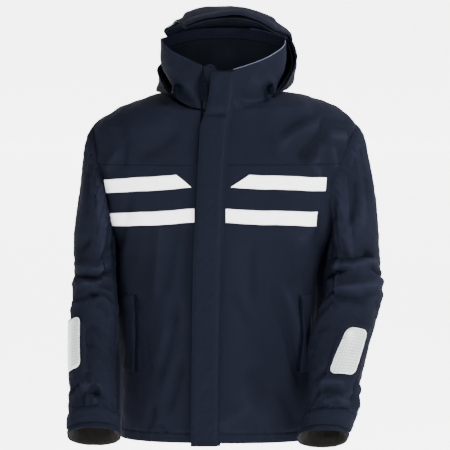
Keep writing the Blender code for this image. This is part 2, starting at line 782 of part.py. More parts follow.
def build_pocket_slider(side):
    ends, turn = pocket_frame(side)
    out = turn @ Vector((0, -1, 0))
    up = turn @ Vector((0, 0, 1))
    top = ends[1] - up * 0.004
    block(f"pocket_slider_{side}", top + out * POCKET_SLIDER_OUT, POCKET_SLIDER_SIZE, "plastic", 0.0004, turn)
    pin = top + out * POCKET_PIN_OUT - up * 0.001
    place = Matrix.Translation(pin) @ turn @ Matrix.Rotation(math.pi / 2, 4, "X")
    half = POCKET_PULLER_HALF
    outline = [(-0.0018, 0.0002), (-half, -0.008), (-half, -POCKET_PULLER_LENGTH), (half, -POCKET_PULLER_LENGTH)]
    outline += [(half, -0.008), (0.0018, 0.0002)]
    prism(f"pocket_puller_{side}", outline, -0.0002, POCKET_PULLER_THICK, "plastic", place, pin, 0.0002)


def ring_point(side, z, turn, out=0.0):
    """A point of a hanging sleeve at the ring whose middle has this height. Turn 0 is the outer side, a quarter
    turn is the front."""
    x, y, width, depth, tilt = table_at(tuple(reversed(SLEEVE[side])), z)
    lean = math.radians(tilt)
    front = Vector((0, -math.cos(lean), math.sin(lean)))
    across = math.copysign(abs(math.cos(turn)) ** 0.9, math.cos(turn)) * (width + out)
    ahead = math.copysign(abs(math.sin(turn)) ** 0.9, math.sin(turn)) * (depth + out)
    return Vector((SIDE[side] * (x + across), y, z)) + front * ahead


def ring_axis(side, z):
    """The way down the sleeve at this height."""
    tilt = table_at(tuple(reversed(SLEEVE[side])), z)[4]
    lean = math.radians(tilt)
    return Vector((0, -math.sin(lean), -math.cos(lean)))


def armhole_point(side, turn, out=0.0):
    """A point of the armhole's edge. Turn 0 is its top, and a quarter turn is the front."""
    middle = (ARMHOLE_TOP + ARMHOLE_BOTTOM) / 2
    half = (ARMHOLE_TOP - ARMHOLE_BOTTOM) / 2
    z = middle + math.cos(turn) * (half + out - GAP)
    y = ARMHOLE_Y - math.sin(turn) * (ARMHOLE_REACH + out - GAP)
    right, left, centre, depth, square = torso_at(z)
    share = min(1.0, abs((y - centre) / depth))
    x = (left if side == "left" else right) * (1 - share**square) ** (1 / square)
    return Vector((SIDE[side] * (x + SLEEVE_OUT), y, z))


def cap_point(side, part, turn, out=0.0):
    """The sleeve's cap bends from the armhole, at part 0, to the first hanging ring, at part 1."""
    start = armhole_point(side, turn, out)
    end = ring_point(side, SLEEVE[side][0][0], turn, out)
    bend = Vector((
        start.x + (end.x - start.x) * 0.80,
        start.y + (end.y - start.y) * 0.5,
        start.z - (start.z - end.z) * 0.12,
    ))
    return start * (1 - part) ** 2 + bend * 2 * part * (1 - part) + end * part**2


def turns():
    return [2 * math.pi * j / RING_STEPS for j in range(RING_STEPS)]


def build_sleeve(side):
    """The upper sleeve from the armhole to the elbow, then the forearm with its cuff lining."""
    grids = []
    for out in (0.0, -CLOTH):
        rows = [[cap_point(side, part, turn, out) for turn in turns()] for part in (0, 0.1, 0.25, 0.45, 0.7, 1)]
        rows += [[ring_point(side, z, turn, out) for turn in turns()] for z in (-0.370, ELBOW_Z)]
        grids.append(rows)
    slab(f"upper_sleeve_{side}", grids[0], grids[1], "shell", ring=True)
    pivot = elbow_pivot(side)
    shift = ring_axis(side, ELBOW_Z) * GAP
    heights = (ELBOW_Z, -0.430, -0.460, -0.520, -0.565, -0.610, -0.656, CUFF_Z)
    grids = []
    for out in (0.0, -CLOTH):
        grids.append([[ring_point(side, z, turn, out) + shift for turn in turns()] for z in heights])
    slab(f"forearm_sleeve_{side}", grids[0], grids[1], "shell", ring=True, origin=pivot)
    grids = []
    heights = (CUFF_LINING_TOP, -0.610, -0.656, CUFF_Z + 0.002)
    for out in (-CLOTH - 0.0010, -CLOTH - 0.0010 - LINING):
        grids.append([[ring_point(side, z, turn, out) + shift for turn in turns()] for z in heights])
    slab(f"cuff_lining_{side}", grids[0], grids[1], "lining", ring=True, origin=pivot)


def elbow_pivot(side):
    """The forearm bends about the crease at the front of the elbow."""
    return ring_point(side, ELBOW_Z, math.pi / 2, 0.001)


def sleeve_plate(name, side, heights, start, end, columns, out, thick, finish, origin=None):
    """A curved plate on the forearm between two turns."""
    shift = ring_axis(side, ELBOW_Z) * GAP
    grids = []
    for level in (out + thick, out):
        grids.append([
            [ring_point(side, z, turn, level) + shift for turn in spread(start, end, columns)] for z in heights
        ])
    return slab(name, grids[0], grids[1], finish, origin=origin)


def tab_axis(side):
    """Two points of the line that the cuff tab turns about, at its sewn end."""
    shift = ring_axis(side, ELBOW_Z) * GAP
    return [ring_point(side, z, TAB_SEWN, 0.0014) + shift for z in TAB_Z]


def build_forearm_trim(side):
    """Reflective patch, cuff tab and the loop strip that the tab closes on."""
    pivot = elbow_pivot(side)
    start, end = (math.radians(turn) for turn in PATCH_TURNS[side])
    heights = spread(*PATCH_Z[side], 4)
    sleeve_plate(f"forearm_patch_{side}", side, heights, start, end, 6, 0.0005, TAPE, "prismatic", pivot)
    sleeve_plate(f"cuff_loop_patch_{side}", side, TAB_Z, 0.0, LOOP_PATCH_END, 7, 0.0003, TAPE, "webbing", pivot)
    sleeve_plate(
        f"cuff_tab_{side}",
        side,
        (TAB_Z[0], sum(TAB_Z) / 2, TAB_Z[1]),
        TAB_SEWN,
        TAB_FREE,
        12,
        TAB_OUT,
        TAB_THICK,
        "shell",
        tab_axis(side)[0],
    )


def build_stripes():
    """Reflective tapes across the chest, bevelled at the inner ends of the upper pair."""
    for name, (low, high, low_ends, high_ends) in STRIPES.items():
        sign = 1 if name.endswith("left") else -1
        grids = []
        for out in (STRIPE_OUT + TAPE, STRIPE_OUT):
            rows = []
            for (inner_z, outer_z), (inner_x, outer_x) in ((low, low_ends), (high, high_ends)):
                row = []
                for share in spread(0.0, 1.0, 14):
                    z = inner_z + (outer_z - inner_z) * share
                    x = inner_x + (outer_x - inner_x) * share
                    row.append(torso_point(angle_of_x(sign * x, z), z, out))
                rows.append(row)
            grids.append(rows)
        slab(name, grids[0], grids[1], "reflective")


def circle(radius):
    angles = [2 * math.pi * j / LOCK_SIDES for j in range(LOCK_SIDES)]
    return [(radius * math.cos(a), radius * math.sin(a)) for a in angles]


def build_cord_lock(side):
    """A cord lock beside the neck: a barrel with a plunger that is pressed down into it."""
    base = collar_point(SIDE[side] * LOCK_ANGLE, LOCK_Z, LOCK_OUT)
    outlines = [[base + Vector((x, y, z)) for x, y in circle(radius)] for radius, z in LOCK_PROFILE]
    loft(f"cord_lock_barrel_{side}", outlines, "lock")
    place = Matrix.Translation(base)
    prism(f"cord_lock_plunger_{side}", circle(LOCK_BORE - GAP), *PLUNGER_Z, "lock", place, base, 0.0005)


def main():
    clear_scene()
    build_body()
    build_collar()
    build_hanger_loop()
    build_hood()
    build_storm_flap()
    build_front_zip()
    build_stripes()
    for side in ("left", "right"):
        build_pocket(side)
        build_pocket_slider(side)
        build_sleeve(side)
        build_forearm_trim(side)
        build_cord_lock(side)


main()
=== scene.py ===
import math

import bmesh
import bpy
import numpy as np
from mathutils import Matrix, Vector
from mathutils.bvhtree import BVHTree


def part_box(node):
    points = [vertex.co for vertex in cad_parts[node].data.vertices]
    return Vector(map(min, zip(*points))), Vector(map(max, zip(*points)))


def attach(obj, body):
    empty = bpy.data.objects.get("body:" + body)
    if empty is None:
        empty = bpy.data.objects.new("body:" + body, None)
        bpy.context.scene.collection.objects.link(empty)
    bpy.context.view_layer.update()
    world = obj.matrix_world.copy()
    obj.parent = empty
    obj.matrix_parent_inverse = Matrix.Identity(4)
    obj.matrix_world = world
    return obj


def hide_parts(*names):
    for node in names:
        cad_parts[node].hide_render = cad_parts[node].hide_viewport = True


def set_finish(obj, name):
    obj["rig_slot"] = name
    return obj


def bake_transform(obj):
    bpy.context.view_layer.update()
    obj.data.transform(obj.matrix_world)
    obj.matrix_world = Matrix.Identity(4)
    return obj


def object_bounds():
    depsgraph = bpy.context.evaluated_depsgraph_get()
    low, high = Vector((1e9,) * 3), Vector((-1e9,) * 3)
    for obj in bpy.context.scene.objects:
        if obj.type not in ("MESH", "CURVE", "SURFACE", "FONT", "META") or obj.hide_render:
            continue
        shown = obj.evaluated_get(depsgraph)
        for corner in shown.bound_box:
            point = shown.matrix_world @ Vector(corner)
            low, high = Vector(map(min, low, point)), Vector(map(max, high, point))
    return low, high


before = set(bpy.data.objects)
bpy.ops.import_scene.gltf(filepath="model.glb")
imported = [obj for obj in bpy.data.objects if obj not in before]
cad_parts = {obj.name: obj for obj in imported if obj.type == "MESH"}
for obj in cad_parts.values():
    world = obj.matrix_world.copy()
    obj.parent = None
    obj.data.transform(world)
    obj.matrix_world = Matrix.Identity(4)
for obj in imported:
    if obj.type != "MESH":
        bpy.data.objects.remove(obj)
cad_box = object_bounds()

# The looks of a foul weather jacket that hangs from its neck loop.
# Metres, +Z up, the front faces -Y, the wearer's left is +X. Every cloth piece starts from the same measures as its
# solid, and folds, seams and stitches are laid over it.

# ---------------------------------------------------------------- measures shared with the solids

FRONT_TOP = (0.065, -0.180)
FRONT_SLOPE = 0.038
HEM_Z = -0.722
YOKE_Z = -0.133
ARMHOLE_TOP = -0.052
ARMHOLE_BOTTOM = -0.300
ARMHOLE_Y = -0.072
ARMHOLE_REACH = 0.082
NECK_FRONT_Z = -0.020
NECK_SIDE_Z = 0.0195
NECK_HALF_WIDTH = 0.108
NECK_BACK_Y = 0.006
NECK_SQUARE = 2.8
COLLAR_FRONT_Z = 0.064
COLLAR_SIDE_Z = 0.128
COLLAR_BACK_Z = 0.149
ZIP_X = -0.045
ZIP_TOP_Z = 0.055
ZIP_BOTTOM_Z = -0.712
FLAP_TOP_Z = 0.063
FLAP_BOTTOM_Z = -0.7275
HOOD_AXIS = (0.002, -0.095, 0.020)
HOOD_RADIUS = 0.180
HOOD_HALF_WIDTH = 0.152
ELBOW_Z = -0.400
CUFF_Z = -0.702
POCKET_X = {"left": 0.176, "right": 0.203}
POCKET_Z = (-0.576, -0.412)
WELT_WIDTH = 0.024
TAB_Z = (-0.691, -0.661)
SIDE = {"left": 1, "right": -1}
# turns round the sleeve in degrees and heights of the forearm patch
PATCH = {"left": ((43, 92), (-0.592, -0.500)), "right": ((10, 66), (-0.581, -0.479))}
CLOTH = 0.0014  # thickness of the visible shell cloth

# height, half width on the right, half width on the left, front, back, squareness
TORSO = (
    (-0.760, 0.219, 0.212, None, 0.060, 2.6),
    (-0.726, 0.219, 0.212, None, 0.060, 2.6),
    (-0.600, 0.219, 0.209, None, 0.060, 2.7),
    (-0.500, 0.220, 0.204, None, 0.061, 2.7),
    (-0.400, 0.221, 0.202, None, 0.061, 2.7),
    (-0.340, 0.223, 0.211, None, 0.061, 2.7),
    (-0.300, 0.232, 0.228, None, 0.061, 2.8),
    (-0.250, 0.250, 0.248, None, 0.060, 2.8),
    (-0.200, 0.264, 0.262, None, 0.059, 2.8),
    (-0.150, 0.276, 0.276, None, 0.057, 2.8),
    (-0.100, 0.283, 0.286, None, 0.052, 2.7),
    (-0.060, 0.279, 0.286, None, 0.041, 2.4),
    (-0.045, 0.268, 0.278, None, 0.036, 2.2),
    (-0.030, 0.248, 0.264, None, 0.030, 2.1),
    (-0.020, 0.230, 0.246, None, 0.024, 2.0),
    (-0.010, 0.205, 0.223, -0.176, 0.017, 2.0),
    (0.000, 0.177, 0.194, -0.166, 0.008, 2.0),
    (0.008, 0.155, 0.170, -0.150, -0.004, 2.0),
    (0.014, 0.134, 0.141, -0.130, -0.020, 2.0),
    (0.020, 0.108, 0.108, -0.105, -0.045, 2.0),
)
# height, half width, back, squareness
COLLAR = (
    (-0.030, 0.108, 0.006, 2.8),
    (0.020, 0.109, 0.006, 2.8),
    (0.045, 0.120, 0.007, 2.8),
    (0.065, 0.128, 0.008, 2.8),
    (0.100, 0.134, 0.008, 2.8),
    (0.150, 0.134, 0.008, 2.8),
)
# height, centre x, centre y, half width, half depth, forward tilt in degrees
SLEEVE = {
    "left": (
        (-0.340, 0.2755, -0.096, 0.0575, 0.075, 10),
        (-0.400, 0.2740, -0.122, 0.0660, 0.071, 18),
        (-0.460, 0.2620, -0.156, 0.0650, 0.067, 26),
        (-0.520, 0.2460, -0.190, 0.0650, 0.063, 27),
        (-0.610, 0.2310, -0.237, 0.0565, 0.059, 27),
        (-0.702, 0.2060, -0.283, 0.0540, 0.057, 27),
    ),
    "right": (
        (-0.340, 0.2755, -0.088, 0.0475, 0.075, 8),
        (-0.400, 0.2780, -0.104, 0.0510, 0.071, 16),
        (-0.460, 0.2800, -0.130, 0.0515, 0.067, 25),
        (-0.520, 0.2810, -0.160, 0.0495, 0.063, 27),
        (-0.610, 0.2770, -0.205, 0.0510, 0.059, 27),
        (-0.702, 0.2725, -0.249, 0.0565, 0.057, 27),
    ),
}
# height and free edge of the storm flap
FLAP = (
    (-0.733, -0.0700), (-0.356, -0.0654), (-0.210, -0.0577), (-0.055, -0.0500), (-0.011, -0.0360), (0.063, -0.0260)
)


# ---------------------------------------------------------------- numbers and curves


def smooth_table(rows):
    """A function of the first column that runs smoothly through the rows, with no overshoot."""
    rows = sorted(rows)
    keys = np.array([row[0] for row in rows])
    values = np.array([row[1:] for row in rows], float)
    gaps = np.diff(keys)[:, None]
    slopes = np.diff(values, axis=0) / gaps
    inner = np.zeros_like(values)
    product = slopes[:-1] * slopes[1:]
    safe = np.where(product > 0, slopes[:-1] + slopes[1:], 1.0)
    inner[1:-1] = np.where(product > 0, 2 * slopes[:-1] * slopes[1:] / safe, 0.0)
    inner[0], inner[-1] = slopes[0], slopes[-1]

    def at(key):
        key = np.clip(np.asarray(key, float), keys[0], keys[-1])
        i = np.clip(np.searchsorted(keys, key) - 1, 0, len(keys) - 2)
        gap = gaps[i, 0]
        t = (key - keys[i]) / gap
        a, b = (2 * t**3 - 3 * t**2 + 1), (t**3 - 2 * t**2 + t) * gap
        c, d = (3 * t**2 - 2 * t**3), (t**3 - t**2) * gap
        found = [
            a * values[i, n] + b * inner[i, n] + c * values[i + 1, n] + d * inner[i + 1, n]
            for n in range(values.shape[1])
        ]
        return found

    return at


def front_y(z):
    return FRONT_TOP[1] - (FRONT_TOP[0] - z) * FRONT_SLOPE


torso_at = smooth_table([(r[0], r[1], r[2], front_y(r[0]) if r[3] is None else r[3], r[4], r[5]) for r in TORSO])
collar_at = smooth_table(COLLAR)
sleeve_at = {side: smooth_table(rows) for side, rows in SLEEVE.items()}
flap_free_x = smooth_table(FLAP)


def power(value, exponent):
    return np.sign(value) * np.abs(value) ** exponent


def smoothstep(value):
    value = np.clip(value, 0.0, 1.0)
    return value * value * (3 - 2 * value)


def waves(points, seed, low, high, count=24, stretch=(1, 1, 1)):
    """Smooth noise of about unit size: a sum of waves whose lengths lie between low and high metres."""
    rng = np.random.default_rng(seed)
    total = np.zeros(points.shape[:-1])
    for _ in range(count):
        way = rng.normal(size=3)
        way /= np.linalg.norm(way)
        length = low * (high / low) ** rng.random()
        total += np.cos(points @ (way * np.array(stretch)) * (2 * math.pi / length) + rng.random() * 6.283)
    return total / math.sqrt(count / 2)


def torso_points(angle, z, out=0.0):
    """Points of the body's surface. The angle is 0 at the front and a quarter turn at the left side."""
    right, left, front, back, square = torso_at(z)
    width = np.where(np.sin(angle) > 0, left, right) + out
    depth = (back - front) / 2 + out
    x = power(np.sin(angle), 2 / square) * width
    y = (front + back) / 2 - power(np.cos(angle), 2 / square) * depth
    return np.stack(np.broadcast_arrays(x, y, z), -1)


def angle_of_x(x, z):
    right, left, _, _, square = torso_at(z)
    share = np.minimum(np.abs(x) / np.where(x > 0, left, right), 1.0)
    return np.sign(x) * np.arcsin(share ** (square / 2))


def collar_points(angle, z, out=0.0):
    half_width, back, square = collar_at(z)
    front = front_y(z)
    x = power(np.sin(angle), 2 / square) * (half_width + out)
    y = (front + back) / 2 - power(np.cos(angle), 2 / square) * ((back - front) / 2 + out)
    return np.stack(np.broadcast_arrays(x, y, z), -1)


def collar_angle_of_x(x, z):
    half_width, _, square = collar_at(z)
    return np.sign(x) * np.arcsin(np.minimum(np.abs(x) / half_width, 1.0) ** (square / 2))


def neck_z(angle):
    """Height of the collar seam at this angle round the collar."""
    angle = np.asarray(angle, float)
    point = collar_points(angle, np.full(angle.shape, NECK_FRONT_Z))
    low = np.full(angle.shape, NECK_FRONT_Z - 0.004)
    high = np.full(angle.shape, TORSO[-1][0])
    for _ in range(30):
        middle = (low + high) / 2
        right, left, front, back, square = torso_at(middle)
        width = np.where(point[..., 0] > 0, left, right)
        depth = (back - front) / 2
        outside = np.abs(point[..., 0] / width) ** square + np.abs(
            (point[..., 1] - (front + back) / 2) / depth
        ) ** square
        high = np.where(outside > 1, middle, high)
        low = np.where(outside > 1, low, middle)
    return low


def neck_height(angle):
    """Height at which the body's surface reaches the neck opening at this angle round the body."""
    angle = np.asarray(angle, float)
    low = np.full(angle.shape, NECK_FRONT_Z - 0.004)
    high = np.full(angle.shape, TORSO[-1][0])
    front = front_y(NECK_FRONT_Z)
    middle_y, depth = (front + NECK_BACK_Y) / 2, (NECK_BACK_Y - front) / 2
    for _ in range(30):
        middle = (low + high) / 2
        p = torso_points(angle, middle)
        inside = (
            1
            - np.abs(p[..., 0] / NECK_HALF_WIDTH) ** NECK_SQUARE
            - np.abs((p[..., 1] - middle_y) / depth) ** NECK_SQUARE
        )
        high = np.where(inside > 0, middle, high)
        low = np.where(inside > 0, low, middle)
    return low


def collar_top(angle):
    turn = np.arccos(np.clip(np.cos(angle), -1, 1)) / (math.pi / 2)
    side = np.minimum(turn, 1.0)
    bulge = np.where(np.sin(angle) < 0, 0.10, 0.02) * np.sin(math.pi * side)
    top = COLLAR_FRONT_Z - 0.002 + (COLLAR_SIDE_Z - COLLAR_FRONT_Z + 0.002) * (side + bulge)
    return top + (COLLAR_BACK_Z - COLLAR_SIDE_Z) * smoothstep((turn - 1.08) / 0.92)


def collar_z(angle, part, drop=0.0):
    low = neck_z(angle) + 0.0010
    return low + (collar_top(angle) - drop - low) * part


def ring_points(side, z, turn, out=0.0):
    """Points of a hanging sleeve. Turn 0 is the outer side, a quarter turn is the front."""
    x, y, width, depth, tilt = sleeve_at[side](z)
    lean = np.radians(tilt)
    across = power(np.cos(turn), 0.9) * (width + out)
    ahead = power(np.sin(turn), 0.9) * (depth + out)
    points = (SIDE[side] * (x + across), y - np.cos(lean) * ahead, z + np.sin(lean) * ahead)
    return np.stack(np.broadcast_arrays(*points), -1)


def armhole_points(side, turn, out=0.0):
    """Points of the armhole's edge. Turn 0 is its top, and a quarter turn is the front."""
    middle = (ARMHOLE_TOP + ARMHOLE_BOTTOM) / 2
    half = (ARMHOLE_TOP - ARMHOLE_BOTTOM) / 2
    z = middle + np.cos(turn) * (half + out)
    reach = np.where((np.sin(turn) > 0) & (side == "right"), 0.060, ARMHOLE_REACH)
    y = ARMHOLE_Y - np.sin(turn) * (reach + out)
    right, left, front, back, square = torso_at(z)
    share = np.minimum(1.0, np.abs((y - (front + back) / 2) / ((back - front) / 2)))
    x = (left if side == "left" else right) * (1 - share**square) ** (1 / square)
    return np.stack((SIDE[side] * (x + 0.0005), y, z), -1)


def cap_points(side, part, turn, out=0.0):
    start = armhole_points(side, turn, out)
    end = ring_points(side, np.full(turn.shape, SLEEVE[side][0][0]), turn, out)
    bend = np.stack(
        (
            start[..., 0] + (end[..., 0] - start[..., 0]) * 0.80,
            start[..., 1] + (end[..., 1] - start[..., 1]) * 0.5,
            start[..., 2] - (start[..., 2] - end[..., 2]) * 0.12,
        ),
        -1,
    )
    part = np.asarray(part)[..., None]
    return start * (1 - part) ** 2 + bend * 2 * part * (1 - part) + end * part**2


def folds(u, v, marks, sharp=1.6):
    """Height of long soft folds. Each mark is two ends, half width, height and how far it leans to one side."""
    total = np.zeros(np.broadcast(u, v).shape)
    for u0, v0, u1, v1, width, height, *lean in marks:
        du, dv = u1 - u0, v1 - v0
        length = math.hypot(du, dv)
        along = ((u - u0) * du + (v - v0) * dv) / length**2
        across = ((u - u0) * dv - (v - v0) * du) / length
        across = across + (lean[0] if lean else 0.0) * np.sin(np.clip(along, 0, 1) * math.pi) * length
        taper = smoothstep((along + 0.12) / 0.35) * smoothstep((1.12 - along) / 0.35)
        total += height * np.exp(-(np.abs(across / width) ** sharp)) * taper
    return total


# ---------------------------------------------------------------- meshes


def normals_of(grid, ring=False):
    """Unit normals of a grid of points, to the left of its rows."""
    if ring:
        along = np.roll(grid, -1, 1) - np.roll(grid, 1, 1)
    else:
        along = np.gradient(grid, axis=1)
    up = np.gradient(grid, axis=0)
    normal = np.cross(along, up)
    return normal / np.maximum(np.linalg.norm(normal, axis=-1, keepdims=True), 1e-12)


def arc_uv(grid, ring=False):
    """Coordinates in metres along the rows and columns of a grid."""
    across = np.zeros(grid.shape[:2])
    across[:, 1:] = np.cumsum(np.linalg.norm(np.diff(grid, axis=1), axis=-1), axis=1)
    across -= across[:, across.shape[1] // 2][:, None]
    up = np.zeros(grid.shape[:2])
    up[1:] = np.cumsum(np.linalg.norm(np.diff(grid, axis=0), axis=-1), axis=0)
    up = np.repeat(up[:, up.shape[1] // 2][:, None], up.shape[1], 1)
    return across, up


def link(name, mesh, mat, slot=None, smooth=True):
    mesh.name = name
    mesh.materials.append(mat)
    if smooth:
        mesh.shade_smooth()
    obj = bpy.data.objects.new(name, mesh)
    bpy.context.scene.collection.objects.link(obj)
    if slot:
        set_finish(obj, slot)
    return obj


def store_relief(mesh, grid, ring=False, flip=False):
    """Keeps how far each point stands above its neighbourhood, for the shading of creases and ridges."""
    soft = grid * 1.0
    for _ in range(50):
        near = np.concatenate((soft[:1], soft, soft[-1:]))
        soft = soft * 0.5 + (near[:-2] + near[2:]) * 0.25
        near = np.concatenate(
            (soft[:, -1:], soft, soft[:, :1]), 1
        ) if ring else np.concatenate((soft[:, :1], soft, soft[:, -1:]), 1)
        soft = soft * 0.5 + (near[:, :-2] + near[:, 2:]) * 0.25
    normal = np.cross(np.gradient(grid, axis=1), np.gradient(grid, axis=0))
    normal /= np.maximum(np.linalg.norm(normal, axis=-1, keepdims=True), 1e-12)
    relief = ((grid - soft) * normal).sum(-1) * (-1 if flip else 1)
    rim = np.minimum(np.arange(len(grid)), np.arange(len(grid))[::-1])[:, None] / 8.0
    if not ring:
        side = np.minimum(np.arange(grid.shape[1]), np.arange(grid.shape[1])[::-1])[None] / 8.0
        rim = np.minimum(rim, side)
    relief = relief * smoothstep(rim)
    attribute = mesh.attributes.get("fold") or mesh.attributes.new("fold", "FLOAT", "POINT")
    attribute.data.foreach_set("value", (relief * np.ones(grid.shape[:2])).reshape(-1).astype(np.float32))


def grid_mesh(name, grid, mat, slot=None, ring=False, thick=0.0, uv=None, flip=False, facing=None):
    """A cloth from a grid of points, with its thickness laid inward."""
    rows, columns = grid.shape[:2]
    index = np.arange(rows * columns).reshape(rows, columns)
    right = np.roll(index, -1, 1) if ring else index[:, 1:]
    left = index if ring else index[:, :-1]
    quads = np.stack((left[:-1], right[:-1], right[1:], left[1:]), -1).reshape(-1, 4)
    if flip:
        quads = quads[:, ::-1]
    across, up = arc_uv(grid) if uv is None else uv
    mesh = bpy.data.meshes.new(name)
    mesh.from_pydata(grid.reshape(-1, 3).tolist(), [], quads.tolist())
    layer = mesh.uv_layers.new(name="cloth")
    flat = np.stack((across, up), -1)
    if ring:
        wide = np.concatenate((flat, flat[:, :1] + np.array([np.linalg.norm(grid[0, -1] - grid[0, 0]), 0])), 1)
        wide[:, -1, 0] = flat[:, -1, 0] + np.linalg.norm(grid[:, -1] - grid[:, 0], axis=-1)
        a, b = wide[:-1, :-1], wide[:-1, 1:]
        c, d = wide[1:, 1:], wide[1:, :-1]
        corners = np.stack((a, b, c, d), 2).reshape(-1, 4, 2)
    else:
        corners = flat.reshape(-1, 2)[np.stack((left[:-1], right[:-1], right[1:], left[1:]), -1).reshape(-1, 4)]
    if flip:
        corners = corners[:, ::-1]
    layer.data.foreach_set("uv", corners.reshape(-1).astype(np.float32))
    store_relief(mesh, grid, ring, flip)
    mesh.validate()
    obj = link(name, mesh, mat, slot)
    if facing:
        row, other = facing
        mesh.materials.append(other)
        across_row = columns if ring else columns - 1
        for face in list(mesh.polygons)[row * across_row :]:
            face.material_index = 1
    if thick:
        solid = obj.modifiers.new("thickness", "SOLIDIFY")
        solid.thickness = thick
        solid.offset = -1
        solid.use_even_offset = False
        bake(obj)
    return obj


def bake(obj):
    """Turns the modifiers into plain mesh."""
    graph = bpy.context.evaluated_depsgraph_get()
    made = bpy.data.meshes.new_from_object(obj.evaluated_get(graph), preserve_all_data_layers=True, depsgraph=graph)
    obj.modifiers.clear()
    old = obj.data
    name = old.name
    obj.data = made
    bpy.data.meshes.remove(old)
    made.name = name
    return obj


def surface_of(*objects):
    """A tree of the objects' faces, for laying trim on them."""
    points, faces = [], []
    for obj in objects:
        start = len(points)
        points += [v.co.copy() for v in obj.data.vertices]
        faces += [[start + i for i in p.vertices] for p in obj.data.polygons]
    return BVHTree.FromPolygons(points, faces)


def laid(points, tree, ways, out):
    """Points moved onto a surface, seen along one way, and lifted off it."""
    found = []
    for point, way in zip(points, ways):
        way = Vector(way)
        hit, normal, _, _ = tree.ray_cast(Vector(point) - way * 0.06, way, 0.14)
        if hit is None:
            hit, normal, _, _ = tree.find_nearest(Vector(point))
        if normal.dot(way) > 0:
            normal = -normal
        found.append((hit + normal * out, normal))
    return found


def laid_grid(grid, tree, ways, out):
    flat = laid(grid.reshape(-1, 3), tree, np.broadcast_to(ways, grid.shape).reshape(-1, 3), out)
    return np.array([tuple(p) for p, _ in flat]).reshape(grid.shape)


def resample(line, step):
    line = np.asarray(line, float)
    lengths = np.concatenate(([0], np.cumsum(np.linalg.norm(np.diff(line, axis=0), axis=1))))
    count = max(2, int(lengths[-1] / step) + 1)
    at = np.linspace(0, lengths[-1], count)
    return np.stack([np.interp(at, lengths, line[:, n]) for n in range(3)], -1)


class Stitches:
    """Gathers single stitches and makes one mesh of them."""

    def __init__(self):
        self.points, self.faces = [], []

    def line(self, line, tree, way, pitch=0.0034, length=0.0023, radius=0.00030, out=0.00012):
        track = resample(line, pitch)
        ways = np.broadcast_to(np.asarray(way, float), track.shape) if np.ndim(way) == 1 else way
        if len(ways) != len(track):
            ways = np.stack(
                [
                    np.interp(
                        np.linspace(0, 1, len(track)), np.linspace(0, 1, len(ways)), ways[:, n]
                    ) for n in range(3)
                ],
                -1
            )
        placed = laid(track, tree, ways, out)
        for (a, normal), (b, _) in zip(placed, placed[1:]):
            along = b - a
            if not 0.2 * pitch < along.length < 3 * pitch:
                continue
            along.normalize()
            self.one(a.lerp(b, 0.5), along, normal, length, radius)

    def one(self, middle, along, normal, length, radius):
        side = along.cross(normal).normalized()
        base = len(self.points)
        for share, fat, lift in ((-0.5, 0.35, -0.6), (-0.25, 1.0, 0.5), (0.25, 1.0, 0.5), (0.5, 0.35, -0.6)):
            centre = middle + along * length * share + normal * radius * lift
            for k in range(5):
                turn = 2 * math.pi * k / 5
                self.points.append(centre + (side * math.cos(turn) + normal * math.sin(turn)) * radius * fat)
        for i in range(3):
            for k in range(5):
                j = (k + 1) % 5
                self.faces.append((base + 5 * i + k, base + 5 * i + j, base + 5 * i + 5 + j, base + 5 * i + 5 + k))
        self.faces.append(tuple(base + k for k in range(4, -1, -1)))
        self.faces.append(tuple(base + 15 + k for k in range(5)))

    def made(self, name, mat, body, slot="webbing"):
        mesh = bpy.data.meshes.new(name)
        mesh.from_pydata([tuple(p) for p in self.points], [], self.faces)
        obj = link(name, mesh, mat, slot)
        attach(obj, body)
        return obj


def tube(name, line, radius, mat, slot=None, sides=8):
    """A round cord or tube along a line, with closed ends."""
    line = np.asarray(line, float)
    way = np.gradient(line, axis=0)
    way /= np.linalg.norm(way, axis=1, keepdims=True)
    up = np.array([0.31, 0.17, 0.94])
    points, faces = [], []
    side = np.cross(way[0], up)
    for p, w in zip(line, way):
        side = side - w * np.dot(side, w)
        side /= np.linalg.norm(side)
        other = np.cross(w, side)
        for k in range(sides):
            turn = 2 * math.pi * k / sides
            points.append(p + (side * math.cos(turn) + other * math.sin(turn)) * radius)
    for i in range(len(line) - 1):
        for k in range(sides):
            j = (k + 1) % sides
            faces.append((i * sides + k, i * sides + j, (i + 1) * sides + j, (i + 1) * sides + k))
    faces.append(tuple(range(sides - 1, -1, -1)))
    faces.append(tuple((len(line) - 1) * sides + k for k in range(sides)))
    mesh = bpy.data.meshes.new(name)
    mesh.from_pydata([tuple(p) for p in points], [], faces)
    return link(name, mesh, mat, slot)


# ---------------------------------------------------------------- materials


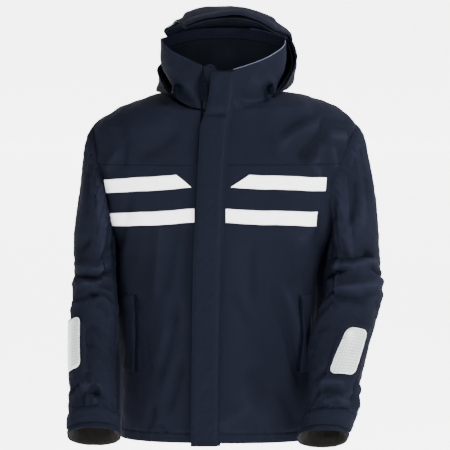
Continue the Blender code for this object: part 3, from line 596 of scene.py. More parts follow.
class Nodes:
    """Short calls for building one node material."""

    def __init__(self, name):
        self.mat = bpy.data.materials.new(name)
        self.mat.use_nodes = True
        self.tree = self.mat.node_tree
        self.shader = self.tree.nodes["Principled BSDF"]

    def new(self, kind, **inputs):
        node = self.tree.nodes.new(kind)
        for key, value in inputs.items():
            if key in node.bl_rna.properties and not isinstance(value, bpy.types.NodeSocket):
                setattr(node, key, value)
                continue
            socket = node.inputs[key.replace("_", " ")] if isinstance(key, str) else node.inputs[key]
            self.put(socket, value)
        return node

    def put(self, socket, value):
        if isinstance(value, bpy.types.NodeSocket):
            self.tree.links.new(value, socket)
        else:
            socket.default_value = value

    def math(self, operation, a, b=0.0, c=0.0):
        node = self.tree.nodes.new("ShaderNodeMath")
        node.operation = operation
        for socket, value in zip(node.inputs, (a, b, c)):
            self.put(socket, value)
        return node.outputs[0]

    def noise(self, vector, scale, detail=3.0, rough=0.55):
        node = self.tree.nodes.new("ShaderNodeTexNoise")
        self.put(node.inputs["Vector"], vector)
        node.inputs["Scale"].default_value = scale
        node.inputs["Detail"].default_value = detail
        node.inputs["Roughness"].default_value = rough
        return node.outputs["Fac"]

    def ramp(self, value, stops):
        node = self.tree.nodes.new("ShaderNodeValToRGB")
        self.put(node.inputs[0], value)
        while len(node.color_ramp.elements) < len(stops):
            node.color_ramp.elements.new(0.5)
        for element, (place, colour) in zip(node.color_ramp.elements, stops):
            element.position = place
            element.color = (*colour, 1)
        return node.outputs["Color"]

    def uv(self):
        node = self.tree.nodes.new("ShaderNodeUVMap")
        node.uv_map = "cloth"
        return node.outputs["UV"]

    def place(self):
        return self.tree.nodes.new("ShaderNodeTexCoord").outputs["Object"]

    def split(self, vector):
        node = self.tree.nodes.new("ShaderNodeSeparateXYZ")
        self.put(node.inputs[0], vector)
        return node.outputs[0], node.outputs[1], node.outputs[2]

    def value(self, name):
        node = self.tree.nodes.new("ShaderNodeAttribute")
        node.attribute_name = name
        return node.outputs["Fac"]

    def bump(self, height, distance, strength=1.0):
        node = self.tree.nodes.new("ShaderNodeBump")
        self.put(node.inputs["Height"], height)
        node.inputs["Distance"].default_value = distance
        node.inputs["Strength"].default_value = strength
        self.tree.links.new(node.outputs["Normal"], self.shader.inputs["Normal"])

    def set(self, **values):
        for key, value in values.items():
            self.put(self.shader.inputs[key.replace("_", " ")], value)
        return self.mat


def woven(n, vector, pitch):
    """Height of a plain weave whose threads lie at this pitch in metres."""
    u, v, _ = n.split(vector)
    turn = 2 * math.pi / pitch
    warp = n.math("SINE", n.math("MULTIPLY", u, turn))
    weft = n.math("SINE", n.math("MULTIPLY", v, turn))
    return n.math("MULTIPLY_ADD", n.math("MULTIPLY", warp, weft), 0.5, 0.5)


def cloth_material(
    name, colour, pitch=0.0009, rough=0.80, sheen=0.0, depth=0.00006, spread=0.16, shine=0.010, mapped=True
):
    """A coated woven cloth: weave, slubs in the yarn, slow changes of colour, painted shade in the creases and
    painted highlight on the ridges.
    """
    n = Nodes(name)
    if mapped:
        uv = n.uv()
    else:
        x, y, z = n.split(n.place())
        uv = n.new("ShaderNodeCombineXYZ", X=n.math("ADD", x, y), Y=z).outputs[0]
    weave = woven(n, uv, pitch)
    u, v, _ = n.split(uv)
    streak = n.new("ShaderNodeCombineXYZ", X=n.math("MULTIPLY", u, 6.0), Y=v).outputs[0]
    slub = n.noise(streak, 260.0, 2.0)
    slow = n.noise(n.place(), 5.0, 4.0)
    fine = n.noise(uv, 900.0, 2.0)
    dark = tuple(c * (1 - spread) for c in colour)
    light = tuple(c * (1 + spread) for c in colour)
    tone = n.math(
        "ADD", n.math("MULTIPLY", slow, 0.55),
        n.math("ADD", n.math("MULTIPLY", slub, 0.25), n.math("MULTIPLY", weave, 0.20))
    )
    # painted shade darkens the creases and painted highlight lightens the ridges, by the relief stored in the fold
    # attribute
    tone = n.math("MULTIPLY_ADD", n.value("fold"), 75.0, tone)
    shade = n.ramp(
        tone,
        (
            (0.02, tuple(c * 0.40 for c in colour)), (0.30, dark), (0.55, colour), (0.75, light),
            (1.0, tuple(c * 1.6 for c in colour))
        )
    )
    n.put(n.shader.inputs["Base Color"], shade)
    roughness = n.math("MULTIPLY_ADD", fine, 0.16, rough - 0.08)
    n.put(n.shader.inputs["Roughness"], roughness)
    height = n.math("ADD", n.math("MULTIPLY", weave, 0.6), n.math("MULTIPLY", slub, 0.4))
    crumple = n.noise(n.place(), 60.0, 5.0, 0.6)
    n.bump(n.math("ADD", n.math("MULTIPLY", height, depth / 0.0006), n.math("MULTIPLY", crumple, 0.9)), 0.0006, 0.8)
    return n.set(Sheen_Weight=sheen, Sheen_Roughness=0.45, Sheen_Tint=(0.55, 0.68, 1.0, 1), Specular_IOR_Level=shine)


def plastic_material(name, colour, rough=0.35, grain=0.00005, shine=0.25):
    """Moulded plastic: a fine grain, with lighter rubbed spots."""
    n = Nodes(name)
    spot = n.noise(n.place(), 90.0, 4.0)
    grainy = n.noise(n.place(), 2200.0, 2.0)
    n.put(
        n.shader.inputs["Base Color"],
        n.ramp(spot, ((0.35, tuple(c * 0.8 for c in colour)), (0.7, tuple(c * 1.25 for c in colour))))
    )
    n.put(n.shader.inputs["Roughness"], n.math("MULTIPLY_ADD", spot, 0.2, rough - 0.1))
    n.bump(grainy, grain, 0.6)
    return n.set(Specular_IOR_Level=shine)


def reflective_material():
    """Glass-bead tape: silver white with a fine bead grain and light scuffs."""
    n = Nodes("reflective_tape")
    uv = n.uv()
    beads = n.noise(uv, 2600.0, 1.0)
    scuff = n.noise(n.place(), 34.0, 6.0, 0.7)
    weave = woven(n, uv, 0.0011)
    tone = n.math("ADD", n.math("MULTIPLY", scuff, 0.6), n.math("MULTIPLY", beads, 0.4))
    n.put(n.shader.inputs["Base Color"], n.ramp(tone, ((0.30, (0.80, 0.81, 0.83)), (0.62, (0.93, 0.93, 0.94)))))
    n.put(n.shader.inputs["Roughness"], n.math("MULTIPLY_ADD", scuff, 0.25, 0.36))
    n.bump(n.math("ADD", n.math("MULTIPLY", beads, 0.4), n.math("MULTIPLY", weave, 0.6)), 0.00008, 0.7)
    return n.set(Sheen_Weight=0.15, Specular_IOR_Level=0.6)


def prismatic_material():
    """Prismatic film: a net of small welded cells, pale grey, with a hard shine."""
    n = Nodes("prismatic_film")
    u, v, _ = n.split(n.uv())
    cell = 0.0060
    net = n.math("MINIMUM", n.math("PINGPONG", u, cell / 2), n.math("PINGPONG", v, cell / 2))
    wall = n.math("SMOOTH_MIN", n.math("MULTIPLY", net, 1 / (0.22 * cell)), 1.0, 0.2)
    fine_u = n.math("PINGPONG", n.math("ADD", u, v), 0.0007)
    fine_v = n.math("PINGPONG", n.math("SUBTRACT", u, v), 0.0007)
    prism = n.math("MULTIPLY", n.math("ADD", fine_u, fine_v), 700.0)
    slow = n.noise(n.place(), 26.0, 3.0)
    tone = n.math(
        "ADD", n.math("MULTIPLY", wall, 0.55),
        n.math("ADD", n.math("MULTIPLY", prism, 0.2), n.math("MULTIPLY", slow, 0.35))
    )
    n.put(
        n.shader.inputs["Base Color"],
        n.ramp(tone, ((0.25, (0.20, 0.22, 0.225)), (0.60, (0.34, 0.36, 0.36)), (0.95, (0.50, 0.53, 0.52))))
    )
    n.put(n.shader.inputs["Roughness"], n.math("MULTIPLY_ADD", wall, -0.18, 0.48))
    n.bump(n.math("ADD", n.math("MULTIPLY", wall, 0.7), n.math("MULTIPLY", prism, 0.3)), 0.0003, 0.8)
    return n.set(Coat_Weight=0.25, Coat_Roughness=0.15, Specular_IOR_Level=0.6)


def mesh_material():
    """Open knitted lining: a dark net with small holes that shows as a fine grid."""
    n = Nodes("knit_lining")
    u, v, _ = n.split(n.uv())
    pitch = 0.0022
    row = n.math("FLOOR", n.math("MULTIPLY", v, 1 / pitch))
    shifted = n.math("MULTIPLY_ADD", row, pitch / 2, u)
    hole_u = n.math("PINGPONG", shifted, pitch / 2)
    hole_v = n.math("PINGPONG", v, pitch / 2)
    net = n.math("MULTIPLY", n.math("ADD", hole_u, hole_v), 1 / pitch)
    slow = n.noise(n.place(), 40.0, 4.0)
    tone = n.math("ADD", n.math("MULTIPLY", net, 0.6), n.math("MULTIPLY", slow, 0.5))
    n.put(
        n.shader.inputs["Base Color"],
        n.ramp(tone, ((0.3, (0.0030, 0.0028, 0.0026)), (0.85, (0.0130, 0.0120, 0.0105))))
    )
    n.bump(net, 0.0005, 0.8)
    return n.set(Roughness=0.85, Sheen_Weight=0.02, Specular_IOR_Level=0.05)


NAVY = (0.0049, 0.0056, 0.0098)
SHELL = cloth_material("shell_cloth", NAVY)
SHELL_BAND = cloth_material("shell_band", tuple(c * 1.05 for c in NAVY))
# painted light: the collar's facing is the shell's own cloth painted three times lighter, to lift it out of the
# hood's shadow
FACING_PAINTED_LIGHT = cloth_material("collar_facing_painted_light", tuple(c * 3.0 for c in NAVY))
LINING_CLOTH = cloth_material("lining_cloth", (0.0110, 0.0135, 0.0200), pitch=0.0007, rough=0.62)
KNIT = mesh_material()
WEBBING = cloth_material("webbing_tape", (0.0022, 0.0034, 0.0076), pitch=0.0016, rough=0.7, depth=0.0002)
HOOK_TAPE = cloth_material("hook_tape", (0.0022, 0.0030, 0.0060), pitch=0.0014, rough=0.85, sheen=0.015, depth=0.0003)
THREAD = cloth_material("thread", (0.0050, 0.0066, 0.0126), pitch=0.0005, rough=0.6, sheen=0.01)
PALE_THREAD = cloth_material("pale_thread", (0.42, 0.43, 0.45), pitch=0.0005, rough=0.6, sheen=0.1)
REFLECTIVE = reflective_material()
PRISMATIC = prismatic_material()
FILM_RIM = plastic_material("film_rim", (0.50, 0.53, 0.53), rough=0.34)
# painted highlight: shell cloth painted pale, for the lit rolled rim of the collar
RIM_HIGHLIGHT = cloth_material("rim_painted_highlight", (0.07, 0.085, 0.12), pitch=0.0006, rough=0.45, sheen=0.05)
ZIP_PLASTIC = plastic_material("zip_plastic", (0.0016, 0.0021, 0.0040), rough=0.60, shine=0.015)
LOCK_PLASTIC = plastic_material("lock_plastic", (0.0009, 0.0021, 0.0036), rough=0.55, shine=0.01)
LOCK_DARK = plastic_material("lock_dark", (0.0009, 0.0012, 0.0020), rough=0.60, shine=0.01)


# ---------------------------------------------------------------- body

YOKE_STEP = 0.0016


def fold_out(angle, z):
    """How far the worn-in folds lift the body's cloth, by height and by angle."""
    p = torso_points(angle, z)
    x = p[..., 0]
    front = smoothstep((np.cos(angle) + 0.15) / 0.5)
    rear = 1 - front
    lift = 0.0 * x
    lift += 2.1 * front * folds(x, z, FRONT_FOLDS)
    lift += rear * folds(x, z, BACK_FOLDS)
    # behind the arms the body swells a little, where it is pressed from the front
    behind = smoothstep((0.02 - np.cos(angle)) / 0.055) * smoothstep((np.cos(angle) + 0.90) / 0.35)
    lift += (
        0.011 + 0.013 * smoothstep((-0.29 - z) / 0.07)
    ) * behind * smoothstep((-0.230 - z) / 0.05) * smoothstep((z + 0.715) / 0.05)
    drape = waves(p, 11, 0.10, 0.26, stretch=(1, 0.8, 0.28))
    low = smoothstep((-0.15 - z) / 0.25)
    lift += 0.0034 * drape * (0.35 + 0.65 * low) * (0.55 + 0.45 * rear)
    crumple = waves(p, 12, 0.022, 0.06, stretch=(1, 1, 0.6))
    rough = smoothstep((np.abs(x) - 0.14) / 0.08)
    lift += 0.00045 * crumple * (0.35 + 0.9 * rough + 0.7 * rear)
    # the hem band is drawn in by its stitches
    pucker = waves(p, 13, 0.012, 0.024, stretch=(1, 1, 0.2))
    lift += -0.0016 * np.exp(-(((z + 0.701) / 0.0030) ** 2)) + 0.0007 * pucker * np.exp(-(((z + 0.700) / 0.018) ** 2))
    # the chest seam is lapped, the upper cloth over the lower
    lift += YOKE_STEP * smoothstep((z - YOKE_Z) / 0.0012) * (1 - smoothstep((z - YOKE_Z - 0.006) / 0.020))
    lift += -0.0008 * np.exp(-(((z - YOKE_Z + 0.0008) / 0.0016) ** 2))
    lift = np.maximum(lift, -0.0058)
    # it lies flat along the zip
    return lift * smoothstep((np.abs(x - ZIP_X) - 0.006) / 0.022 + rear)


# x and z of both ends, half width, height, bow
FRONT_FOLDS = (
    (0.112, -0.395, 0.160, -0.600, 0.012, -0.0050, 0.03),
    (0.128, -0.390, 0.185, -0.570, 0.014, 0.0030),
    (0.118, -0.290, 0.152, -0.390, 0.018, -0.0030),
    (0.060, -0.300, 0.062, -0.420, 0.010, -0.0016),
    (0.012, -0.400, 0.055, -0.470, 0.012, -0.0014),
    (-0.020, -0.690, 0.060, -0.640, 0.016, 0.0014),
    (0.050, -0.560, 0.090, -0.620, 0.018, -0.0016),
    (-0.095, -0.250, -0.125, -0.400, 0.016, -0.0022),
    (-0.130, -0.250, -0.150, -0.420, 0.012, 0.0018),
    (-0.075, -0.260, -0.085, -0.420, 0.013, -0.0016),
    (-0.100, -0.420, -0.145, -0.600, 0.013, -0.0030, 0.03),
    (-0.085, -0.540, -0.120, -0.660, 0.012, -0.0026),
    (-0.118, -0.470, -0.140, -0.560, 0.016, 0.0022),
    (-0.150, -0.640, -0.158, -0.700, 0.008, -0.0024),
    (-0.135, -0.680, -0.120, -0.702, 0.006, -0.0018),
    (-0.185, -0.480, -0.162, -0.580, 0.009, -0.0026),
    (0.200, -0.235, 0.205, -0.320, 0.012, -0.0035),
    (0.150, -0.300, 0.205, -0.260, 0.018, 0.0026),
    (0.105, -0.100, 0.205, -0.042, 0.018, 0.0042, 0.06),
    (0.115, -0.075, 0.200, -0.030, 0.010, -0.0030, 0.06),
    (0.160, -0.120, 0.222, -0.056, 0.013, -0.0052, -0.05),
    (0.205, -0.046, 0.268, -0.060, 0.013, -0.0050),
    (0.212, -0.072, 0.262, -0.078, 0.011, 0.0048),
    (0.225, -0.090, 0.236, -0.150, 0.010, 0.0036),
    (0.205, -0.085, 0.190, -0.130, 0.012, 0.0030),
    (0.176, -0.128, 0.206, -0.160, 0.012, 0.0024),
    (0.090, -0.030, 0.190, -0.012, 0.016, 0.0026),
    (-0.100, -0.040, -0.200, -0.060, 0.030, 0.0024),
    (-0.095, -0.065, -0.180, -0.120, 0.016, -0.0028, 0.05),
    (-0.205, -0.080, -0.212, -0.140, 0.009, -0.0020),
    (-0.220, -0.100, -0.245, -0.150, 0.010, 0.0026),
    (-0.200, -0.200, -0.228, -0.330, 0.014, -0.0030),
    (-0.210, -0.300, -0.200, -0.430, 0.014, 0.0024),
    (0.195, -0.460, 0.190, -0.600, 0.010, -0.0022),
    (0.110, -0.600, 0.165, -0.700, 0.016, -0.0022),
    (0.020, -0.610, 0.100, -0.680, 0.020, 0.0016),
)
BACK_FOLDS = (
    (-0.120, -0.060, -0.175, -0.300, 0.022, 0.0050, 0.03),
    (0.120, -0.060, 0.175, -0.300, 0.022, 0.0050, -0.03),
    (-0.150, -0.080, -0.200, -0.280, 0.014, -0.0046, 0.03),
    (0.150, -0.080, 0.200, -0.280, 0.014, -0.0046, -0.03),
    (-0.060, -0.350, -0.100, -0.700, 0.024, 0.0044),
    (0.070, -0.330, 0.110, -0.700, 0.026, 0.0044),
    (0.000, -0.300, 0.010, -0.690, 0.020, -0.0034),
    (-0.130, -0.360, -0.150, -0.690, 0.018, -0.0040),
    (0.140, -0.380, 0.165, -0.680, 0.018, -0.0040),
    (-0.080, -0.100, 0.080, -0.105, 0.030, -0.0030, 0.08),
    (-0.180, -0.300, -0.060, -0.360, 0.016, 0.0030, 0.08),
    (0.180, -0.310, 0.060, -0.370, 0.016, 0.0030, -0.08),
)


def body_skin(angle, z, out=0.0):
    """The body's cloth with its folds."""
    p = torso_points(angle, z)
    lift = fold_out(angle, z) + out
    q = torso_points(angle, z, 0.01)
    way = q - p
    way /= np.maximum(np.linalg.norm(way, axis=-1, keepdims=True), 1e-9)
    top = smoothstep((z + 0.07) / 0.07)[..., None]
    up = np.array([0.0, 0.0, 1.0])
    way = way * (1 - 0.75 * top) + up * 0.75 * top
    way /= np.linalg.norm(way, axis=-1, keepdims=True)
    return p + way * lift[..., None]


def body_rows():
    low = np.concatenate(
        (np.linspace(HEM_Z, -0.706, 6), np.linspace(-0.7045, -0.6975, 7), np.linspace(-0.694, -0.140, 130))
    )
    seam = np.linspace(-0.1375, -0.1285, 12)
    high = np.concatenate((np.linspace(-0.126, -0.062, 18), np.linspace(-0.060, NECK_SIDE_Z, 44)))
    return np.concatenate((low, seam, high))


def build_body():
    heights = body_rows()
    shares = np.linspace(0, 1, 400)
    start = angle_of_x(np.full(heights.shape, ZIP_X + 0.0045), heights)
    end = 2 * math.pi + angle_of_x(np.full(heights.shape, ZIP_X - 0.0045), heights)
    angle = start[:, None] + (end - start)[:, None] * shares[None]
    z = np.repeat(heights[:, None], len(shares), 1)
    tops = neck_height(angle[-40])
    peak = NECK_SIDE_Z
    raised = YOKE_Z + (z - YOKE_Z) * (tops[None] - YOKE_Z) / (peak - YOKE_Z)
    z = np.where(z > YOKE_Z, raised, z)
    # sideways close to the zip the angle has to keep the same x
    room = 0.0062 - 0.0043 * smoothstep((z[:, 0] + 0.10) / 0.04)
    near_left = angle_of_x(ZIP_X + room, z[:, 0])
    near_right = 2 * math.pi + angle_of_x(ZIP_X - room, z[:, -1])
    angle = near_left[:, None] + (near_right - near_left)[:, None] * shares[None]
    grid = body_skin(angle, z)
    obj = grid_mesh("body_cloth", grid, SHELL, "shell", thick=CLOTH)
    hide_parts("front_panel_left", "front_panel_right", "front_yoke_left", "front_yoke_right", "back_panel")
    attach(obj, "root")
    lining_z = np.concatenate((np.linspace(HEM_Z + 0.018, -0.060, 90), np.linspace(-0.055, -0.012, 12)))
    lining_shares = np.linspace(0, 1, 180)
    first = angle_of_x(np.full(lining_z.shape, ZIP_X + 0.020), lining_z)
    last = 2 * math.pi + angle_of_x(np.full(lining_z.shape, ZIP_X - 0.020), lining_z)
    turn = first[:, None] + (last - first)[:, None] * lining_shares[None]
    height = np.repeat(lining_z[:, None], len(lining_shares), 1)
    p = torso_points(turn, height, -0.0105)
    soft = waves(p, 21, 0.05, 0.16, stretch=(1, 1, 0.4))
    p = torso_points(turn, height, -0.0120) + normals_of(p) * (0.0022 * soft)[..., None]
    lining = grid_mesh("body_lining_knit", p, KNIT, "lining", thick=0.0008)
    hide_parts("body_lining")
    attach(lining, "root")
    return obj, lining


# ---------------------------------------------------------------- sleeves

# around the sleeve in metres from its front line (minus is the outer side) and height, then as FRONT_FOLDS
SLEEVE_FOLDS = {
    "left": (
        (0.082, -0.372, 0.004, -0.366, 0.0055, -0.0085, 0.05),
        (-0.095, -0.378, -0.036, -0.362, 0.0055, -0.0070, -0.05),
        (0.070, -0.352, -0.060, -0.342, 0.0120, 0.0060, 0.10),
        (0.060, -0.325, -0.050, -0.318, 0.0085, -0.0050, 0.14),
        (0.075, -0.300, 0.000, -0.318, 0.0080, -0.0034),
        (-0.020, -0.305, -0.090, -0.345, 0.0090, -0.0048),
        (0.070, -0.392, -0.085, -0.386, 0.0120, 0.0060, 0.14),
        (0.045, -0.416, -0.060, -0.418, 0.0060, -0.0046, 0.16),
        (0.020, -0.434, -0.040, -0.440, 0.0070, -0.0034, 0.10),
        (0.070, -0.428, 0.028, -0.402, 0.0070, -0.0040),
        (0.078, -0.470, 0.040, -0.438, 0.0080, -0.0040),
        (0.060, -0.500, 0.030, -0.492, 0.0060, -0.0028),
        (-0.060, -0.430, -0.090, -0.470, 0.0100, -0.0036),
        (0.035, -0.250, 0.006, -0.175, 0.0080, -0.0048, 0.06),
        (0.000, -0.260, -0.034, -0.160, 0.0080, -0.0056, 0.06),
        (0.018, -0.240, -0.012, -0.150, 0.0120, 0.0040),
        (-0.046, -0.240, -0.066, -0.150, 0.0100, -0.0032),
        (-0.020, -0.280, -0.050, -0.200, 0.0140, 0.0034),
        (0.062, -0.596, -0.004, -0.596, 0.0070, -0.0040, -0.12),
        (-0.046, -0.566, -0.060, -0.640, 0.0085, -0.0048),
        (0.050, -0.628, -0.030, -0.634, 0.0070, -0.0044, -0.12),
        (0.020, -0.650, -0.046, -0.640, 0.0080, 0.0034, -0.10),
        (0.040, -0.612, -0.020, -0.614, 0.0080, 0.0034, -0.10),
        (-0.080, -0.600, -0.100, -0.660, 0.0100, 0.0034),
    ),
    "right": (
        (-0.085, -0.370, 0.060, -0.366, 0.0060, -0.0075, -0.12),
        (-0.080, -0.345, 0.050, -0.352, 0.0120, 0.0060, -0.12),
        (-0.060, -0.318, -0.010, -0.290, 0.0080, -0.0045),
        (0.010, -0.330, 0.060, -0.300, 0.0080, -0.0036),
        (-0.075, -0.395, 0.040, -0.382, 0.0110, 0.0055, -0.10),
        (-0.070, -0.408, -0.030, -0.400, 0.0060, -0.0040, 0.08),
        (-0.010, -0.396, 0.060, -0.404, 0.0060, -0.0040, -0.12),
        (-0.060, -0.440, 0.010, -0.424, 0.0075, -0.0046, -0.06),
        (-0.010, -0.426, 0.064, -0.436, 0.0060, -0.0056, 0.05),
        (-0.080, -0.455, -0.030, -0.446, 0.0080, 0.0040),
        (0.010, -0.452, 0.050, -0.470, 0.0090, -0.0036, 0.10),
        (0.000, -0.500, 0.034, -0.520, 0.0070, -0.0030, 0.10),
        (-0.004, -0.535, 0.034, -0.548, 0.0070, -0.0030, 0.10),
        (0.050, -0.270, 0.030, -0.170, 0.0100, -0.0034),
        (0.010, -0.260, -0.020, -0.160, 0.0120, 0.0036),
        (-0.030, -0.250, -0.050, -0.130, 0.0100, -0.0030),
        (-0.040, -0.230, -0.075, -0.150, 0.0120, 0.0030),
        (-0.020, -0.590, 0.020, -0.640, 0.0080, -0.0048),
        (-0.070, -0.625, -0.030, -0.612, 0.0060, -0.0050, 0.10),
        (-0.036, -0.640, 0.040, -0.640, 0.0075, -0.0044, 0.14),
        (-0.030, -0.622, 0.030, -0.620, 0.0090, 0.0034, 0.12),
        (-0.080, -0.590, -0.060, -0.560, 0.0080, -0.0036),
    ),
}


SETTLE_FRAMES = 22
SETTLE_MOST = 0.010  # how far the settling may move the cloth


PATCH_SLANT = {"left": -0.20, "right": 0.0}


def under_patch(side, turn, z):
    """1 where the stiff patch keeps the sleeve's cloth flat, 0 away from it."""
    (start, end), (low, high) = PATCH[side]
    lean = PATCH_SLANT[side] * (z - (low + high) / 2) / 0.065
    across = np.abs(turn - lean - math.radians((start + end) / 2)) / (math.radians(end - start) / 2)
    up = np.abs(z - (low + high) / 2) / ((high - low) / 2)
    return smoothstep((1.75 - across) / 0.45) * smoothstep((1.35 - up) / 0.3)


def sleeve_grid(side):
    """Rows of the sleeve from its cuff up to the armhole, with its folds."""
    columns = 132
    turn = 2 * math.pi * np.arange(columns) / columns
    hanging = np.concatenate((np.linspace(CUFF_Z, -0.344, 104), [-0.342]))
    rows = [ring_points(side, np.full(columns, z), turn) for z in hanging]
    heights = [np.full(columns, z) for z in hanging]
    for part in np.linspace(1, 0, 58):
        row = cap_points(side, np.full(columns, part), turn)
        rows.append(row)
        heights.append(row[:, 2])
    grid = np.array(rows)
    height = np.array(heights)
    around = np.where(turn < 1.5 * math.pi, turn, turn - 2 * math.pi) - math.pi / 2
    around = np.repeat(around[None], len(rows), 0) * 0.062
    front = smoothstep((np.cos(around / 0.062) + 0.30) / 0.5)
    lift = 1.25 * front * folds(around, height, SLEEVE_FOLDS[side])
    p = grid + np.array([7.0 if side == "left" else 0.0, 0, 0])
    elbow = np.exp(-(((height + 0.395) / 0.060) ** 2))
    wrist = np.exp(-(((height + 0.625) / 0.036) ** 2))
    lift = lift + (1 - front) * folds(around, height, [(-0.19, -0.36, -0.10, -0.372, 0.010, -0.004, 0.2)])
    creased = waves(p, 31, 0.024, 0.060, stretch=(0.55, 0.55, 1.6))
    lift += 0.0008 * creased * (0.10 + elbow + 0.5 * wrist)
    lift += 0.0021 * waves(p, 32, 0.08, 0.20, stretch=(1, 1, 0.5)) * smoothstep((-0.08 - height) / 0.08) * (
        0.35 + 0.65 * smoothstep((height + 0.70) / 0.10)
    )
    lift += 0.0004 * waves(p, 33, 0.012, 0.03)
    edge = np.exp(-(((height + 0.690) / 0.0030) ** 2))
    lift += -0.0012 * edge
    lift *= 1 - 0.92 * under_patch(side, np.broadcast_to(turn, height.shape), height)
    # the cloth is gathered a little behind the armhole seam
    top = 1 - smoothstep(np.arange(len(rows))[::-1][:, None] / 12.0)
    lift = lift * (1 - top) - 0.0012 * top
    return grid, lift


def lifted(grid, lift):
    """The ring-shaped cloth with its folds lifted along its outward normals."""
    normal = normals_of(grid, ring=True)
    outward = normal * np.sign((normal * (grid - grid.mean(axis=1, keepdims=True))).sum(-1, keepdims=True).mean())
    return grid + outward * lift[..., None]


def build_sleeve(side):
    grid, lift = sleeve_grid(side)
    obj = grid_mesh(f"sleeve_cloth_{side}", grid, SHELL, "shell", ring=True, flip=side == "left")
    relax(obj, side, grid.shape)
    grid = lifted(np.array([tuple(v.co) for v in obj.data.vertices]).reshape(grid.shape), lift)
    obj.data.vertices.foreach_set("co", grid.reshape(-1).astype(np.float32))
    store_relief(obj.data, grid, True, side == "left")
    obj.data.update()
    solid = obj.modifiers.new("thickness", "SOLIDIFY")
    solid.thickness, solid.offset, solid.use_even_offset = CLOTH, -1, False
    bake(obj)
    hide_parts(f"upper_sleeve_{side}", f"forearm_sleeve_{side}")
    build_cuff_lining(side, grid)
    return obj


def relax(obj, side, shape):
    """Lets the sleeve settle as cloth: it is cut a little too long for its place, so it buckles where it is slack."""
    start = np.array([tuple(v.co) for v in obj.data.vertices])
    rows = start.reshape(shape)
    count = shape[0]
    row = np.arange(count)[:, None] + np.zeros((1, shape[1]))
    held = np.maximum(1 - smoothstep((row - 5) / 8.0), smoothstep((row - (count - 22)) / 18.0))
    turn = np.broadcast_to(2 * math.pi * np.arange(shape[1]) / shape[1], row.shape)
    held = np.maximum(held, 0.9 * under_patch(side, turn, rows[..., 2]))
    group = obj.vertex_groups.new(name="held")
    flat = held.reshape(-1)
    for i in np.nonzero(flat > 0.02)[0]:
        group.add([int(i)], float(flat[i]), "REPLACE")
    cloth = obj.modifiers.new("settle", "CLOTH")
    settings = cloth.settings
    settings.quality = 5
    settings.mass = 0.12
    settings.tension_stiffness = settings.compression_stiffness = 14
    settings.shear_stiffness = 6
    settings.bending_stiffness = 0.35
    settings.vertex_group_mass = "held"
    settings.pin_stiffness = 1.0
    settings.shrink_min = settings.shrink_max = -0.050
    settings.use_pressure = True
    settings.uniform_pressure_force = 0.6
    settings.effector_weights.gravity = 0.25
    cloth.collision_settings.use_collision = False
    cloth.point_cache.frame_start, cloth.point_cache.frame_end = 1, SETTLE_FRAMES
    scene = bpy.context.scene
    for frame_number in range(1, SETTLE_FRAMES + 1):
        scene.frame_set(frame_number)
    graph = bpy.context.evaluated_depsgraph_get()
    settled = obj.evaluated_get(graph).data
    end = np.array([tuple(v.co) for v in settled.vertices])
    obj.modifiers.clear()
    obj.vertex_groups.clear()
    scene.frame_set(1)
    move = end - start
    length = np.linalg.norm(move, axis=1, keepdims=True)
    move *= np.minimum(length, SETTLE_MOST * np.tanh(length / SETTLE_MOST)) / np.maximum(length, 1e-9)
    # towards the body it may not swell
    outward = rows - rows.mean(axis=1, keepdims=True)
    outward = (outward / np.linalg.norm(outward, axis=-1, keepdims=True)).reshape(-1, 3)
    swell = (move * outward).sum(axis=1, keepdims=True)
    move -= outward * np.minimum(swell + 0.0035, 0)
    swell = (move * outward).sum(axis=1, keepdims=True)
    toward_body = smoothstep(-outward[:, :1] * SIDE[side] / 0.6)
    move -= outward * np.maximum(swell - 0.0015, 0) * toward_body
    obj.data.vertices.foreach_set("co", (start + move).reshape(-1).astype(np.float32))
    obj.data.update()


def bend_sleeve(obj, side):
    """Reads the elbow's height and the sleeve's centre there, and bakes the sleeve's placement into its mesh; nothing
    is bent.
    """
    way = ELBOW_Z
    x, y = sleeve_at[side](way)[:2]
    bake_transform(obj)


def build_cuff_lining(side, sleeve):
    """The dark knit seen in the cuff's opening, a little inside the sleeve's cloth."""
    grid = sleeve[:20] * 1.0
    for _ in range(6):
        grid[1:-1] = grid[1:-1] * 0.5 + (grid[:-2] + grid[2:]) * 0.25
        grid = grid * 0.5 + (np.roll(grid, 1, 1) + np.roll(grid, -1, 1)) * 0.25
    lumps = waves(grid, 41 + SIDE[side], 0.018, 0.05, stretch=(1, 1, 0.6))
    inward = grid.mean(axis=1, keepdims=True) - grid
    inward /= np.linalg.norm(inward, axis=-1, keepdims=True)
    depth = 0.0026 + smoothstep(np.arange(len(grid))[:, None] / 6.0) * (
        0.0022 + 0.0028 * (0.5 + 0.5 * np.clip(lumps, -1, 1))
    )
    grid = grid + inward * depth[..., None] + np.array([0, 0, 0.0012])
    obj = grid_mesh(f"cuff_lining_knit_{side}", grid, KNIT, "lining", ring=True, thick=0.0008, flip=side == "left")
    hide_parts(f"cuff_lining_{side}")
    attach(obj, f"forearm_{side}")
    return obj


# ---------------------------------------------------------------- collar

COLLAR_FOLDS = (
    (-0.103, 0.030, -0.060, -0.012, 0.008, -0.0034, 0.06),
    (-0.090, 0.050, -0.050, 0.000, 0.010, 0.0030, 0.06),
    (-0.115, 0.075, -0.080, 0.050, 0.012, 0.0024),
    (0.030, 0.020, 0.095, 0.020, 0.012, -0.0026, -0.16),
    (0.028, 0.000, 0.090, 0.000, 0.009, -0.0034, -0.12),
    (0.030, 0.010, 0.092, 0.010, 0.009, 0.0026, -0.14),
    (0.090, 0.060, 0.112, 0.015, 0.010, 0.0028),
    (0.050, 0.050, 0.085, 0.035, 0.010, 0.0020),
)


